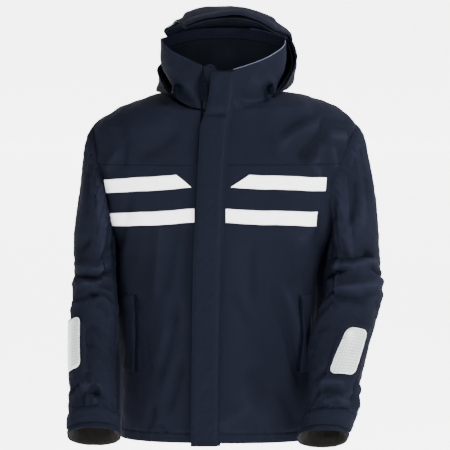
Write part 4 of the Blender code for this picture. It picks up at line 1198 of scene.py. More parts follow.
def collar_skin(angle, z, out=0.0):
    p = collar_points(angle, z, out)
    x = p[..., 0]
    front = smoothstep((np.cos(angle) + 0.1) / 0.4)
    lift = 1.7 * front * folds(x, z, COLLAR_FOLDS)
    lift = lift + 0.0012 * waves(p, 51, 0.05, 0.12) * smoothstep((z - 0.0) / 0.03)
    lift = lift + 0.0028 * np.exp(-(((z + 0.002) / 0.010) ** 2)) * front
    q = collar_points(angle, z, out + 0.01)
    way = q - p
    way /= np.maximum(np.linalg.norm(way, axis=-1, keepdims=True), 1e-9)
    return p + way * lift[..., None]


def collar_edge(x, part):
    angle = collar_angle_of_x(np.float64(x), np.float64(NECK_FRONT_Z))
    for _ in range(5):
        angle = collar_angle_of_x(np.float64(x), collar_z(np.array([float(angle)]), part)[0])
    return float(angle)


def build_collar():
    columns = 260
    shares = np.linspace(0, 1, columns)

    def row(part, drop, out, room=0.0019, raise_z=0.0):
        start = collar_edge(ZIP_X + room, part)
        end = 2 * math.pi + collar_edge(ZIP_X - room, part)
        angle = start + (end - start) * shares
        z = collar_z(angle, part, drop)
        return collar_skin(angle, z, out) + np.array([0, 0, raise_z])

    rows = [row(part, 0.0, 0.0) for part in np.linspace(0.0, 1.0, 46)]
    for turn in np.linspace(20, 160, 5):
        rows.append(
            row(
                1.0, 0.0, -0.0022 + 0.0022 * math.cos(math.radians(turn)),
                raise_z=0.0018 * math.sin(math.radians(turn))
            )
        )
    for down in np.linspace(0.0, 0.022, 9):
        rows.append(row(1.0, down, -0.0044))
    grid = np.array(rows)
    # the facing rows, from row 49 on, take the shell cloth painted lighter as painted light
    obj = grid_mesh("collar_cloth", grid, SHELL, "shell", thick=0.0008, facing=(49, FACING_PAINTED_LIGHT))
    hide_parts("collar_shell")
    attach(obj, "root")
    lining_rows = [
        row(
            part, 0.021, -0.0050 - 0.0012 * math.sin(math.pi * part), room=0.016
        ) for part in np.linspace(0.02, 1.0, 34)
    ]
    p = np.array(lining_rows)
    soft = waves(p, 52, 0.03, 0.09, stretch=(1, 1, 0.35))
    inward = np.array([0.0, front_y(0.0) / 2, 0.0]) - p
    inward[..., 2] = 0
    inward /= np.linalg.norm(inward, axis=-1, keepdims=True)
    p = p + inward * (
        0.0012 + 0.0022 * np.clip(soft + 0.4, 0, 2) * np.sin(np.linspace(0, math.pi, len(p)))[:, None]
    )[..., None]
    lining = grid_mesh("collar_lining_cloth", p, LINING_CLOTH, "lining", thick=0.0007)
    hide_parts("collar_lining")
    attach(lining, "root")
    # painted highlight: a pale tube along the rim on the left side, from the flap round to the back, stands in for
    # light caught by the shell cloth's rolled rim
    start = collar_edge(0.020, 1.0)
    angle = np.linspace(start, math.pi * 0.90, 150)
    z = collar_z(angle, 1.0)
    rim = collar_skin(angle, z, -0.0020) + np.array([0, 0, 0.0022])
    rim_highlight_tube = tube("collar_piping", rim, 0.00085, RIM_HIGHLIGHT, "shell", 8)
    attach(rim_highlight_tube, "root")
    return obj, lining


# ---------------------------------------------------------------- hood

HOOD_BASE_START = math.radians(64)
HOOD_LOW = -14.0
HOOD_EDGE = 113.0


def hood_points(r, t, out=0.0):
    """Points of the hood. r runs from the neck seam, 0, to the edge of the brim, 1, and t from right to left."""
    seam_angle = math.pi - t * (math.pi - HOOD_BASE_START)
    seam = collar_points(seam_angle, neck_z(seam_angle) + 0.003, 0.0052 + out)
    recede = np.where(t < 0, 84 * smoothstep((-t - 0.34) / 0.30), 26 * smoothstep((t - 0.36) / 0.40))
    angle = np.radians(HOOD_LOW + r * (HOOD_EDGE - recede - HOOD_LOW))
    quarter = t * math.pi / 2
    square = 3.1 + (2.6 - 3.1) * smoothstep((np.degrees(angle) - 20) / 60)
    across = power(np.sin(quarter), 2 / square)
    share = np.abs(np.cos(quarter)) ** (2 / square)
    past = smoothstep((np.degrees(angle) - 84) / 32)
    radius = HOOD_RADIUS * share * (1 - 0.050 * past * share) + out
    dome = np.stack(
        (
            HOOD_AXIS[0] + 0.005 * smoothstep((r - 0.3) / 0.3) + (HOOD_HALF_WIDTH - 0.006 * past + out) * across,
            HOOD_AXIS[1] + radius * np.cos(angle),
            HOOD_AXIS[2] + radius * np.sin(angle) - 0.012 * past * np.abs(across) ** 2,
        ),
        -1,
    )
    # it keeps clear of the collar's rim
    half_width, rear, collar_square = collar_at(np.minimum(dome[..., 2], 0.14))
    middle = (front_y(dome[..., 2]) + rear) / 2
    size = (
        np.abs(dome[..., 0] / half_width) ** collar_square + np.abs(
            (dome[..., 1] - middle) / (rear - middle)
        ) ** collar_square
    ) ** (1 / collar_square)
    turn = np.arctan2(np.abs(dome[..., 0]) / half_width, -(dome[..., 1] - middle) / (rear - middle))
    near = smoothstep((collar_top(turn) + 0.036 - dome[..., 2]) / 0.034) * smoothstep((size - 0.45) / 0.4)
    grow = 1 + near * np.maximum(0.0, 1.075 + out / 0.13 - size) / np.maximum(size, 0.3)
    dome[..., 0] *= grow
    dome[..., 1] = middle + (dome[..., 1] - middle) * grow
    peel = smoothstep(r / 0.26) * (1 - smoothstep((np.abs(t) - 0.80) / 0.20))
    peel = np.maximum(peel, 0.0)[..., None]
    return seam * (1 - peel) + dome * peel


def hood_skin(r, t, out=0.0):
    p = hood_points(r, t, out)
    lift = 0.0017 * waves(p, 61, 0.07, 0.16) * smoothstep(r / 0.3)
    lift += 0.0005 * waves(p, 62, 0.025, 0.050)
    # creases that run over the crown on both sides, and the channel of the brim
    lift += -0.0026 * np.exp(-(((t + 0.36 + 0.02 * np.sin(9 * r)) / 0.020) ** 2)) * smoothstep((r - 0.45) / 0.2)
    lift += 0.0016 * np.exp(-(((t + 0.31) / 0.030) ** 2)) * smoothstep((r - 0.45) / 0.2)
    lift += -0.0022 * np.exp(-(((t - 0.44) / 0.030) ** 2)) * smoothstep((r - 0.4) / 0.2)
    lift += -0.0016 * np.exp(-(((r - 0.905) / 0.006) ** 2)) + 0.0018 * np.exp(-(((r - 0.965) / 0.030) ** 2))
    centre = np.array([HOOD_AXIS[0], HOOD_AXIS[1], HOOD_AXIS[2] + 0.02])
    way = p - centre
    way /= np.linalg.norm(way, axis=-1, keepdims=True)
    end = 1 - smoothstep((np.abs(t) - 0.9) / 0.1)
    end = end * (1 - 0.8 * smoothstep((0.10 - np.abs(t + 0.47)) / 0.04) * smoothstep((r - 0.5) / 0.2))
    return p + way * (lift * end)[..., None]


def build_hood():
    r = np.linspace(0, 1, 120)[:, None] ** 0.92 * np.ones((1, 200))
    t = np.ones((120, 1)) * np.linspace(-1, 1, 200)[None]
    grid = hood_skin(r, t)
    edge = [grid]
    # the brim's edge is turned in
    for turn in np.linspace(30, 180, 5):
        a = math.radians(turn)
        back = 1.0 - (1 - math.cos(a)) * 0.006
        out = -0.0024 * (1 - math.cos(a)) / 2
        edge.append(hood_skin(np.full((1, 200), back), t[:1], out))
    grid = np.concatenate(edge)
    obj = grid_mesh("hood_cloth", grid, SHELL, "shell", thick=0.0010, flip=True)
    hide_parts("hood_crown", "hood_brim", "hood_base")
    inner_r = np.linspace(0.03, 0.985, 70)[:, None] * np.ones((1, 120))
    inner_t = np.ones((70, 1)) * np.linspace(-0.985, 0.985, 120)[None]
    p = hood_points(inner_r, inner_t, -0.0062)
    p = p + (waves(p, 63, 0.03, 0.09) * 0.0016)[..., None] * np.array([0.3, 0.7, -0.5])
    lining = grid_mesh("hood_lining_knit", p, LINING_CLOTH, "lining", thick=0.0006, flip=True)
    # binding along the opening's edge
    t_line = np.linspace(-1, 1, 240)
    band_rows = []
    for r_value, out in ((1.003, 0.0016), (0.995, 0.0030), (0.93, 0.0026), (0.925, 0.0008)):
        band_rows.append(hood_skin(np.full(t_line.shape, r_value), t_line, out))
    band = grid_mesh("hood_binding", np.array(band_rows), SHELL_BAND, "shell", thick=0.0008)
    for piece in (obj, lining, band):
        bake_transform(piece)
    return obj, lining, band


# ---------------------------------------------------------------- storm flap

FLAP_FOLDS = (
    (0.030, -0.024, -0.052, -0.028, 0.0042, -0.0036, 0.03),
    (0.030, -0.008, -0.044, -0.012, 0.0085, 0.0026, 0.03),
    (0.010, -0.640, -0.060, -0.655, 0.0100, -0.0012),
    (0.000, -0.600, -0.060, -0.590, 0.0120, 0.0010),
)


flap_sewn = smooth_table(((-0.733, -0.0070), (-0.210, 0.0030), (-0.075, 0.0115), (0.010, 0.0235), (0.063, 0.0270)))


def flap_sewn_x(z):
    return flap_sewn(z)[0]


def flap_points(share, z, out=0.0):
    """Points of the flap's outer side. share is 0 at the sewn edge and 1 at the free edge."""
    sewn = flap_sewn_x(z)
    free = flap_free_x(z)[0]
    x = sewn + (free - sewn) * share
    run = (sewn - x)
    rise = 0.0109 * smoothstep(run / 0.011) + 0.0006
    crown = 0.0006 * np.sin(math.pi * share) - 0.0016 * smoothstep((share - 0.86) / 0.14)
    p = np.stack((x, front_y(z), z), -1)
    lift = rise + crown + out
    lift = lift + folds(x, z, FLAP_FOLDS) * smoothstep(run / 0.012)
    lift = lift + 0.0006 * waves(p, 71, 0.05, 0.16, stretch=(1, 1, 0.5)) * smoothstep(run / 0.02)
    lift = lift + 0.00025 * waves(p, 72, 0.012, 0.03)
    y = front_y(z) - lift
    return np.stack(np.broadcast_arrays(x, y, z), -1)


def build_flap():
    z = np.linspace(FLAP_BOTTOM_Z, FLAP_TOP_Z, 260)[:, None] * np.ones((1, 44))
    share = np.ones((260, 1)) * np.linspace(0, 1, 44)[None] ** 1.15
    grid = flap_points(share, z)
    obj = grid_mesh("storm_flap_cloth", grid[:, ::-1], SHELL, "shell", thick=0.0022)
    bevel_edges(obj, 0.0006)
    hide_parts("storm_flap")
    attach(obj, "storm_flap")
    return obj


def bevel_edges(obj, width):
    bevel = obj.modifiers.new("edge", "BEVEL")
    bevel.width, bevel.segments, bevel.limit_method, bevel.angle_limit = width, 2, "ANGLE", math.radians(50)
    bake(obj)
    obj.data.shade_smooth()


# ---------------------------------------------------------------- small hard pieces


def plate(name, outline, thick, mat, matrix, slot=None, bevel=0.0004, segments=2):
    """A flat outline in X and Z, thick along -Y, with rounded edges."""
    built = bmesh.new()
    ring = [built.verts.new((x, 0, z)) for x, z in outline]
    face = built.faces.new(ring)
    made = bmesh.ops.extrude_face_region(built, geom=[face])
    raised = [v for v in made["geom"] if isinstance(v, bmesh.types.BMVert)]
    bmesh.ops.translate(built, vec=(0, -thick, 0), verts=raised)
    bmesh.ops.recalc_face_normals(built, faces=built.faces)
    bmesh.ops.bevel(
        built, geom=built.edges, offset=bevel, segments=segments, profile=0.6, affect="EDGES", clamp_overlap=True
    )
    bmesh.ops.transform(built, matrix=matrix, verts=built.verts)
    mesh = bpy.data.meshes.new(name)
    built.to_mesh(mesh)
    built.free()
    obj = link(name, mesh, mat, slot)
    obj.data.set_sharp_from_angle(angle=math.radians(40))
    return obj


def joined(name, *objects):
    """One object from several, all on the first one's material slots."""
    built = bmesh.new()
    mats = []
    for obj in objects:
        part = obj.data.copy()
        for mat in part.materials:
            if mat not in mats:
                mats.append(mat)
        index = mats.index(part.materials[0])
        for polygon in part.polygons:
            polygon.material_index = index
        built.from_mesh(part)
        bpy.data.meshes.remove(part)
    mesh = bpy.data.meshes.new(name)
    built.to_mesh(mesh)
    built.free()
    for mat in mats:
        mesh.materials.append(mat)
    slot = objects[0].get("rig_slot")
    for obj in objects:
        bpy.data.objects.remove(obj, do_unlink=True)
    obj = bpy.data.objects.new(name, mesh)
    bpy.context.scene.collection.objects.link(obj)
    mesh.shade_smooth()
    mesh.set_sharp_from_angle(angle=math.radians(38))
    if slot:
        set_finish(obj, slot)
    return obj


def rounded(half_x, low, high, radius, steps=7):
    """An upright rectangle with round corners, as points of X and Z."""
    radius = min(radius, half_x, (high - low) / 2)
    points = []
    for cx, cz, start in (
        (half_x - radius, high - radius, 0),
        (-half_x + radius, high - radius, 90),
        (-half_x + radius, low + radius, 180),
        (half_x - radius, low + radius, 270),
    ):
        for i in range(steps):
            a = math.radians(start + 90 * i / (steps - 1))
            points.append((cx + radius * math.cos(a), cz + radius * math.sin(a)))
    return points


def front_tilt():
    return Matrix.Rotation(-math.atan(FRONT_SLOPE), 4, "X")


def zip_points(x, z, out):
    body = torso_points(angle_of_x(np.full(z.shape, x), z), z, out)
    above = collar_points(collar_angle_of_x(np.full(z.shape, x), z), z, out)
    return np.where((z < NECK_FRONT_Z)[:, None], body, above)


def build_zip():
    pitch = 0.0026
    z = np.arange(ZIP_BOTTOM_Z + 0.014, ZIP_TOP_Z - 0.012, pitch)
    for side in ("left", "right"):
        sign = SIDE[side]
        track = zip_points(ZIP_X, z + (pitch / 2 if side == "right" else 0.0), -0.0012)
        built = bmesh.new()
        for x, y, height in track:
            for width, deep, tall, shift in ((0.0030, 0.0020, 0.0013, 0.0018), (0.0014, 0.0026, 0.0016, 0.0036)):
                bmesh.ops.create_cube(
                    built, size=1.0,
                    matrix=Matrix.Translation((x + sign * shift, y, height)) @ Matrix.Diagonal((width, deep, tall, 1))
                )
        mesh = bpy.data.meshes.new(f"zip_teeth_{side}")
        built.to_mesh(mesh)
        built.free()
        teeth = link(f"zip_teeth_{side}", mesh, ZIP_PLASTIC, "zip_plastic", smooth=False)
        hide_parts(f"zip_chain_{side}")
        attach(teeth, "root")
    height = ZIP_TOP_Z - 0.004
    tilt = front_tilt()
    at = Matrix.Translation((ZIP_X, front_y(height) - 0.0009, height)) @ tilt
    shield = [
        (-0.0046, 0.0068), (-0.0052, 0.0020), (-0.0040, -0.0060), (-0.0022, -0.0076), (0.0022, -0.0076),
        (0.0040, -0.0060), (0.0052, 0.0020), (0.0046, 0.0068), (0.0016, 0.0076), (-0.0016, 0.0076)
    ]
    body = plate("slider_body", shield, 0.0028, ZIP_PLASTIC, at, "zip_plastic", 0.0006, 3)
    bridge = plate(
        "slider_bridge", rounded(0.0014, -0.0050, 0.0052, 0.0013), 0.0014, ZIP_PLASTIC,
        at @ Matrix.Translation((0, -0.0026, 0)), bevel=0.0004
    )
    slider = joined("zip_slider_moulded", body, bridge)
    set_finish(slider, "zip_plastic")
    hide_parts("zip_slider")
    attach(slider, "zip_slider")
    pin_z = ZIP_TOP_Z - 0.006
    low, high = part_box("zip_puller")
    length, half = high.z - low.z, (high.x - low.x) / 2
    at = Matrix.Translation(
        (ZIP_X, front_y(pin_z) - 0.0047, pin_z)
    ) @ tilt @ Matrix.Rotation(math.radians(-5), 4, "Y")
    tab = plate(
        "puller_tab", rounded(half, -length + 0.001, -0.0055, half * 0.62, 8), 0.0012, ZIP_PLASTIC, at, "zip_plastic",
        0.0005
    )
    neck = plate(
        "puller_neck", [(-0.0030, 0.0003), (0.0030, 0.0003), (0.0042, -0.0075), (-0.0042, -0.0075)], 0.0011,
        ZIP_PLASTIC, at, bevel=0.0003
    )
    parts = [tab, neck]
    count = 9
    for i in range(count):
        z0 = -0.0105 - (length - 0.0165) * i / (count - 1)
        parts.append(
            plate(
                f"puller_rib_{i}", rounded(half * 0.74, z0 - 0.0012, z0 + 0.0012, 0.0011, 4), 0.0014, ZIP_PLASTIC,
                at @ Matrix.Translation((0, -0.0010, 0)), bevel=0.0004
            )
        )
    rim = rounded(half * 0.93, -length + 0.0016, -0.0062, half * 0.56, 8)
    rim_line = [at @ Vector((x, -0.0012, z)) for x, z in rim + rim[:1]]
    parts.append(tube("puller_rim", [tuple(p) for p in rim_line], 0.0006, ZIP_PLASTIC, None, 6))
    puller = joined("zip_puller_ribbed", *parts)
    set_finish(puller, "zip_plastic")
    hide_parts("zip_puller")
    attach(puller, "zip_puller")
    z0 = ZIP_BOTTOM_Z + 0.006
    box = plate(
        "zip_box_moulded", rounded(0.0037, -0.0068, 0.0068, 0.0012), 0.0026, ZIP_PLASTIC,
        Matrix.Translation((ZIP_X, front_y(z0) + 0.0029, z0)) @ tilt, "zip_plastic", 0.0005
    )
    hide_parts("zip_box")
    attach(box, "root")


# ---------------------------------------------------------------- trim laid on the cloth

STRIPES = {
    "chest_stripe_upper_right": ((-0.1815, -0.1965), (-0.1545, -0.1680), (0.0680, 0.2540), (0.1000, 0.2540)),
    "chest_stripe_upper_left": ((-0.1815, -0.1905), (-0.1545, -0.1620), (0.0145, 0.2160), (0.0540, 0.2185)),
    "chest_stripe_lower_right": ((-0.2550, -0.2680), (-0.2260, -0.2400), (0.0618, 0.2380), (0.0618, 0.2400)),
    "chest_stripe_lower_left": ((-0.2560, -0.2650), (-0.2270, -0.2350), (0.0045, 0.2000), (0.0045, 0.2015)),
}


def build_stripes(stitches):
    for name, (low, high, low_ends, high_ends) in STRIPES.items():
        sign = 1 if name.endswith("left") else -1
        share = np.linspace(0, 1, 120)[None]
        up = np.linspace(0, 1, 10)[:, None]
        z0 = low[0] + (low[1] - low[0]) * share
        z1 = high[0] + (high[1] - high[0]) * share
        x0 = low_ends[0] + (low_ends[1] - low_ends[0]) * share
        x1 = high_ends[0] + (high_ends[1] - high_ends[0]) * share
        z = z0 + (z1 - z0) * up
        x = sign * (x0 + (x1 - x0) * up)
        wavy = 0.0005 * np.sin(x * 52 + sign) + 0.0002 * np.sin(x * 131)
        z = z + wavy
        grid = body_skin(angle_of_x(x, z), z, 0.0008)
        if sign < 0:
            grid = grid[:, ::-1]
        obj = grid_mesh(f"{name}_tape", grid, REFLECTIVE, "reflective", thick=0.0007)
        bevel_edges(obj, 0.0002)
        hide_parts(name)
        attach(obj, "root")
        for row in (0.07, 0.93):
            zz = (z0 + (z1 - z0) * row)[0]
            xx = sign * (x0 + (x1 - x0) * row)[0]
            zz = zz + 0.0005 * np.sin(xx * 52 + sign) + 0.0002 * np.sin(xx * 131)
            stitches.append(body_skin(angle_of_x(xx[2:-2], zz[2:-2]), zz[2:-2], 0.0009))


def disc_grid(outline, rings=14):
    """Rings of points from an outline's middle out to the outline."""
    outline = np.array(outline)
    middle = outline.mean(axis=0)
    return np.array([middle + (outline - middle) * k for k in np.linspace(0.02, 1.0, rings)])




def sleeve_way(side, turn, z):
    """The way into the sleeve's cloth at some turns and ring heights."""
    inside = ring_points(side, z, turn, -0.03)
    outside = ring_points(side, z, turn, 0.03)
    way = inside - outside
    return way / np.linalg.norm(way, axis=-1, keepdims=True)


def patch_points(side, flat):
    """Turn and ring height for points of a patch, given in metres across and up from its middle."""
    (start, end), (low, high) = PATCH[side]
    middle_z = (low + high) / 2
    z = middle_z + flat[..., 1]
    x, y, width, depth, tilt = sleeve_at[side](z)
    turn = math.radians((start + end) / 2) + (flat[..., 0] + PATCH_SLANT[side] * flat[..., 1]) / ((width + depth) / 2)
    return turn, z


def build_patches(tree, side):
    low, high = PATCH[side][1]
    half = 0.0265
    tall = (high - low) / 2
    pieces = []
    for name, inset, out, mat, thick in (
        ("rim", 0.0, 0.0006, FILM_RIM, 0.0005),
        ("film", 0.0034, 0.0013, PRISMATIC, 0.0006),
    ):
        outline = rounded(half - inset, -tall + inset, tall - inset, 0.0125 - inset, 9)
        fine = []
        for a, b in zip(outline, outline[1:] + outline[:1]):
            steps = max(1, int(math.dist(a, b) / 0.004))
            fine += [(a[0] + (b[0] - a[0]) * i / steps, a[1] + (b[1] - a[1]) * i / steps) for i in range(steps)]
        flat = disc_grid(fine, 16)
        turn, z = patch_points(side, flat)
        grid = ring_points(side, z, turn)
        ways = sleeve_way(side, turn, z)
        laid_on = laid_grid(grid, tree, ways, 0.0)
        # the stiff film bridges the cloth's small folds
        gap = ((laid_on - grid) * -ways).sum(-1, keepdims=True)
        gap = np.clip(gap, np.median(gap) - 0.004, np.median(gap) + 0.004)
        for _ in range(60):
            gap = gap * 0.5 + (np.roll(gap, 1, 1) + np.roll(gap, -1, 1)) * 0.25
            gap[1:-1] = gap[1:-1] * 0.5 + (gap[:-2] + gap[2:]) * 0.25
            gap[0] = gap[1].mean()
        grid = grid - ways * (gap + out + 0.0010)
        obj = grid_mesh(
            f"forearm_{name}_{side}", grid, mat, "prismatic", ring=True, thick=thick, uv=(flat[..., 0], flat[..., 1]),
            flip=side == "right"
        )
        pieces.append(obj)
    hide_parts(f"forearm_patch_{side}")
    for piece in pieces:
        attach(piece, f"forearm_{side}")
    return pieces


TAB_SEWN = math.radians(128)
TAB_FREE = math.radians(-8)


def build_tab(tree, side):
    share = np.linspace(0, 1, 70)[None]
    up = np.linspace(-1, 1, 13)[:, None]
    turn = TAB_SEWN + (TAB_FREE - TAB_SEWN) * share + 0 * up
    middle, half = sum(TAB_Z) / 2, (TAB_Z[1] - TAB_Z[0]) / 2
    left = (1 - share) * (TAB_SEWN - TAB_FREE) * 0.055
    taper = np.sqrt(np.clip(1 - np.clip(1 - left / 0.016, 0, 1) ** 2.6, 0.02, 1))
    z = middle + half * up * taper
    grid = ring_points(side, z, turn)
    grid = laid_grid(grid, tree, sleeve_way(side, turn, z), 0.0034)
    for _ in range(12):
        grid[:, 1:-1] = grid[:, 1:-1] * 0.5 + (grid[:, :-2] + grid[:, 2:]) / 4
    if side == "right":
        grid = grid[:, ::-1]
    obj = grid_mesh(f"cuff_tab_cloth_{side}", grid, SHELL_BAND, "shell", thick=0.0022)
    bevel_edges(obj, 0.0005)
    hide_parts(f"cuff_tab_{side}")
    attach(obj, f"cuff_tab_{side}")
    turn = np.linspace(0.05, math.radians(60), 30)[None] + np.zeros((6, 1))
    z = np.linspace(TAB_Z[0] + 0.002, TAB_Z[1] - 0.002, 6)[:, None] + 0 * turn
    under = laid_grid(ring_points(side, z, turn), tree, sleeve_way(side, turn, z), 0.0005)
    loop = grid_mesh(
        f"cuff_loop_tape_{side}", under if side == "right" else under[:, ::-1], HOOK_TAPE, "webbing", thick=0.0006
    )
    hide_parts(f"cuff_loop_patch_{side}")
    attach(loop, f"forearm_{side}")
    edge = []
    for row in (-0.84, 0.84):
        t = np.linspace(TAB_SEWN, TAB_FREE + 0.06, 60)
        left = (t - TAB_FREE) * 0.055
        width = np.sqrt(np.clip(1 - np.clip(1 - left / 0.016, 0, 1) ** 2.6, 0.02, 1))
        edge.append((t, middle + half * row * width))
    return obj, edge


def build_pocket(side):
    """A welt with a zip behind it, let into the front, with its slider and puller."""
    sign = SIDE[side]
    low, high = POCKET_Z
    middle = POCKET_X[side]
    z = np.linspace(low, high, 60)[:, None]
    across = np.linspace(-1, 1, 15)[None]
    swell = np.clip(1 - np.abs(across) ** 5, 0, 1) ** 0.5
    ends = smoothstep((z - low) / 0.006) * smoothstep((high - z) / 0.006)
    x = sign * (middle + WELT_WIDTH / 2 * across) + 0 * z
    zz = z + 0 * x
    out = 0.0003 + 0.0030 * swell * (0.35 + 0.65 * ends)
    base = body_skin(angle_of_x(x, zz), zz)
    up = body_skin(angle_of_x(x, zz), zz, 0.01)
    grid = base + (up - base) * (out / 0.01)[..., None]
    if sign < 0:
        grid = grid[:, ::-1]
    welt = grid_mesh(f"pocket_welt_cloth_{side}", grid, SHELL_BAND, "shell")
    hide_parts(f"pocket_welt_{side}")
    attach(welt, "root")
    inner = middle - WELT_WIDTH / 2
    x = sign * (inner + np.linspace(-0.0062, -0.0006, 9)[None]) + 0 * z
    grid = body_skin(angle_of_x(x, zz[:, :1] + 0 * x), zz[:, :1] + 0 * x, 0.0007)
    if sign < 0:
        grid = grid[:, ::-1]
    tape = grid_mesh(f"pocket_zip_tape_{side}", grid, WEBBING, "zip_plastic", thick=0.0005)
    teeth_z = np.arange(low + 0.004, high - 0.004, 0.0017)
    at = body_skin(angle_of_x(np.full(teeth_z.shape, sign * (inner - 0.0032)), teeth_z), teeth_z, 0.0012)
    built = bmesh.new()
    for i, (px, py, pz) in enumerate(at):
        shift = 0.0004 if i % 2 else -0.0004
        bmesh.ops.create_cube(
            built, size=1.0,
            matrix=Matrix.Translation((px + shift, py, pz)) @ Matrix.Diagonal((0.0028, 0.0010, 0.0010, 1))
        )
    mesh = bpy.data.meshes.new(f"pocket_teeth_{side}")
    built.to_mesh(mesh)
    built.free()
    teeth = link(f"pocket_teeth_{side}", mesh, ZIP_PLASTIC, "zip_plastic", smooth=False)
    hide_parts(f"pocket_zip_{side}")
    for piece in (tape, teeth):
        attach(piece, "root")
    for node, part in ((f"pocket_slider_{side}", "body"), (f"pocket_puller_{side}", "puller")):
        lo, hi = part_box(node)
        centre = (lo + hi) / 2
        tilt = Matrix.Rotation(-math.atan(FRONT_SLOPE), 4, "X") @ Matrix.Rotation(sign * 0.30, 4, "Z")
        if part == "body":
            outline = [
                (-0.0020, 0.0040), (-0.0021, 0.0), (-0.0012, -0.0042), (0.0012, -0.0042), (0.0021, 0.0),
                (0.0020, 0.0040)
            ]
            at = Matrix.Translation(centre) @ tilt @ Matrix.Translation((0, 0.0012, 0))
            obj = plate(f"pocket_slider_moulded_{side}", outline, 0.0023, ZIP_PLASTIC, at, "zip_plastic", 0.0005)
        else:
            half = (hi.z - lo.z) / 2
            at = Matrix.Translation(centre) @ tilt @ Matrix.Translation((0, 0.0007, 0))
            tab = plate(
                "tab", rounded(0.0025, -half, half, 0.0016, 5), 0.0010, ZIP_PLASTIC, at, "zip_plastic", 0.0003
            )
            ribs = [
                plate(
                    f"rib{i}", rounded(0.0017, -half + 0.004 + i * 0.0026, -half + 0.0052 + i * 0.0026, 0.0005, 3),
                    0.0006, ZIP_PLASTIC, at @ Matrix.Translation((0, -0.0009, 0)), bevel=0.0002
                ) for i in range(5)
            ]
            obj = joined(f"pocket_puller_moulded_{side}", tab, *ribs)
            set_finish(obj, "zip_plastic")
        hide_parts(node)
        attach(obj, node)


def build_lock_tab(side, middle, tree, mat):
    """The short webbing tab that holds a cord lock to the collar."""
    foot = tree.find_nearest(middle)[0]
    reach = foot - middle
    way = reach.normalized()
    across = way.cross(Vector((0, 0, 1))).normalized()
    up = across.cross(way).normalized()
    ends = (middle, foot + way * 0.0008)
    points = [
        end + across * a * 0.0034 + up * b * 0.0042 for end in ends for a, b in ((-1, -1), (1, -1), (1, 1), (-1, 1))
    ]
    mesh = bpy.data.meshes.new(f"lock_tab_{side}")
    mesh.from_pydata(points, [], [(3, 2, 1, 0), (4, 5, 6, 7), (0, 1, 5, 4), (1, 2, 6, 5), (2, 3, 7, 6), (3, 0, 4, 7)])
    built = bmesh.new()
    built.from_mesh(mesh)
    bmesh.ops.recalc_face_normals(built, faces=built.faces)
    built.to_mesh(mesh)
    built.free()
    tab = link(f"lock_tab_{side}", mesh, mat, "webbing")
    bevel_edges(tab, 0.0006)
    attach(tab, "root")


def build_locks(collar):
    """Cord locks beside the neck: a ribbed barrel with its button, held by a short webbing tab."""
    tree = surface_of(collar)
    woven_tab = cloth_material("lock_tab_woven", (0.0022, 0.0034, 0.0076), pitch=0.0010, mapped=False)
    for side in ("left", "right"):
        low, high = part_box(f"cord_lock_barrel_{side}")
        middle = (low + high) / 2
        radius = (high.x - low.x) / 2
        built = bmesh.new()
        profile = (
            (0.30, -0.0090), (0.80, -0.0086), (0.97, -0.0066), (1.0, -0.0030), (0.93, -0.0016), (1.0, 0.0002),
            (0.93, 0.0016), (1.0, 0.0032), (0.97, 0.0058), (0.86, 0.0068), (0.62, 0.0069), (0.60, 0.0020)
        )
        sides = 28
        rings = []
        for share, z in profile:
            rings.append(
                [
                    built.verts.new(
                        (
                            radius * share * math.cos(2 * math.pi * k / sides),
                            radius * share * math.sin(2 * math.pi * k / sides), z
                        )
                    ) for k in range(sides)
                ]
            )
        for a, b in zip(rings, rings[1:]):
            for k in range(sides):
                built.faces.new((a[k], a[(k + 1) % sides], b[(k + 1) % sides], b[k]))
        built.faces.new(rings[0][::-1])
        built.faces.new(rings[-1])
        bmesh.ops.recalc_face_normals(built, faces=built.faces)
        bmesh.ops.translate(built, verts=built.verts, vec=middle)
        mesh = bpy.data.meshes.new(f"lock_barrel_{side}")
        built.to_mesh(mesh)
        built.free()
        barrel = link(f"lock_barrel_{side}", mesh, LOCK_PLASTIC, "cord_lock")
        mesh.set_sharp_from_angle(angle=math.radians(50))
        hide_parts(f"cord_lock_barrel_{side}")
        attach(barrel, "root")
        build_lock_tab(side, middle, tree, woven_tab)
        lo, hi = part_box(f"cord_lock_plunger_{side}")
        half = (hi.x - lo.x) / 2
        outline = [(half * math.cos(2 * math.pi * k / 24), half * math.sin(2 * math.pi * k / 24)) for k in range(24)]
        button = plate(
            f"lock_button_{side}", outline, -(hi.z - lo.z), LOCK_DARK,
            Matrix.Translation(
                ((lo.x + hi.x) / 2, (lo.y + hi.y) / 2, lo.z)
            ) @ Matrix.Rotation(math.pi / 2, 4, "X") @ Matrix.Scale(-1, 4, (0, 1, 0)),
            "cord_lock", 0.0007, 3
        )
        bottom = min(v.co.z for v in button.data.vertices)
        for v in button.data.vertices:
            v.co.z += lo.z - bottom
        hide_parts(f"cord_lock_plunger_{side}")
        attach(button, f"cord_lock_plunger_{side}")


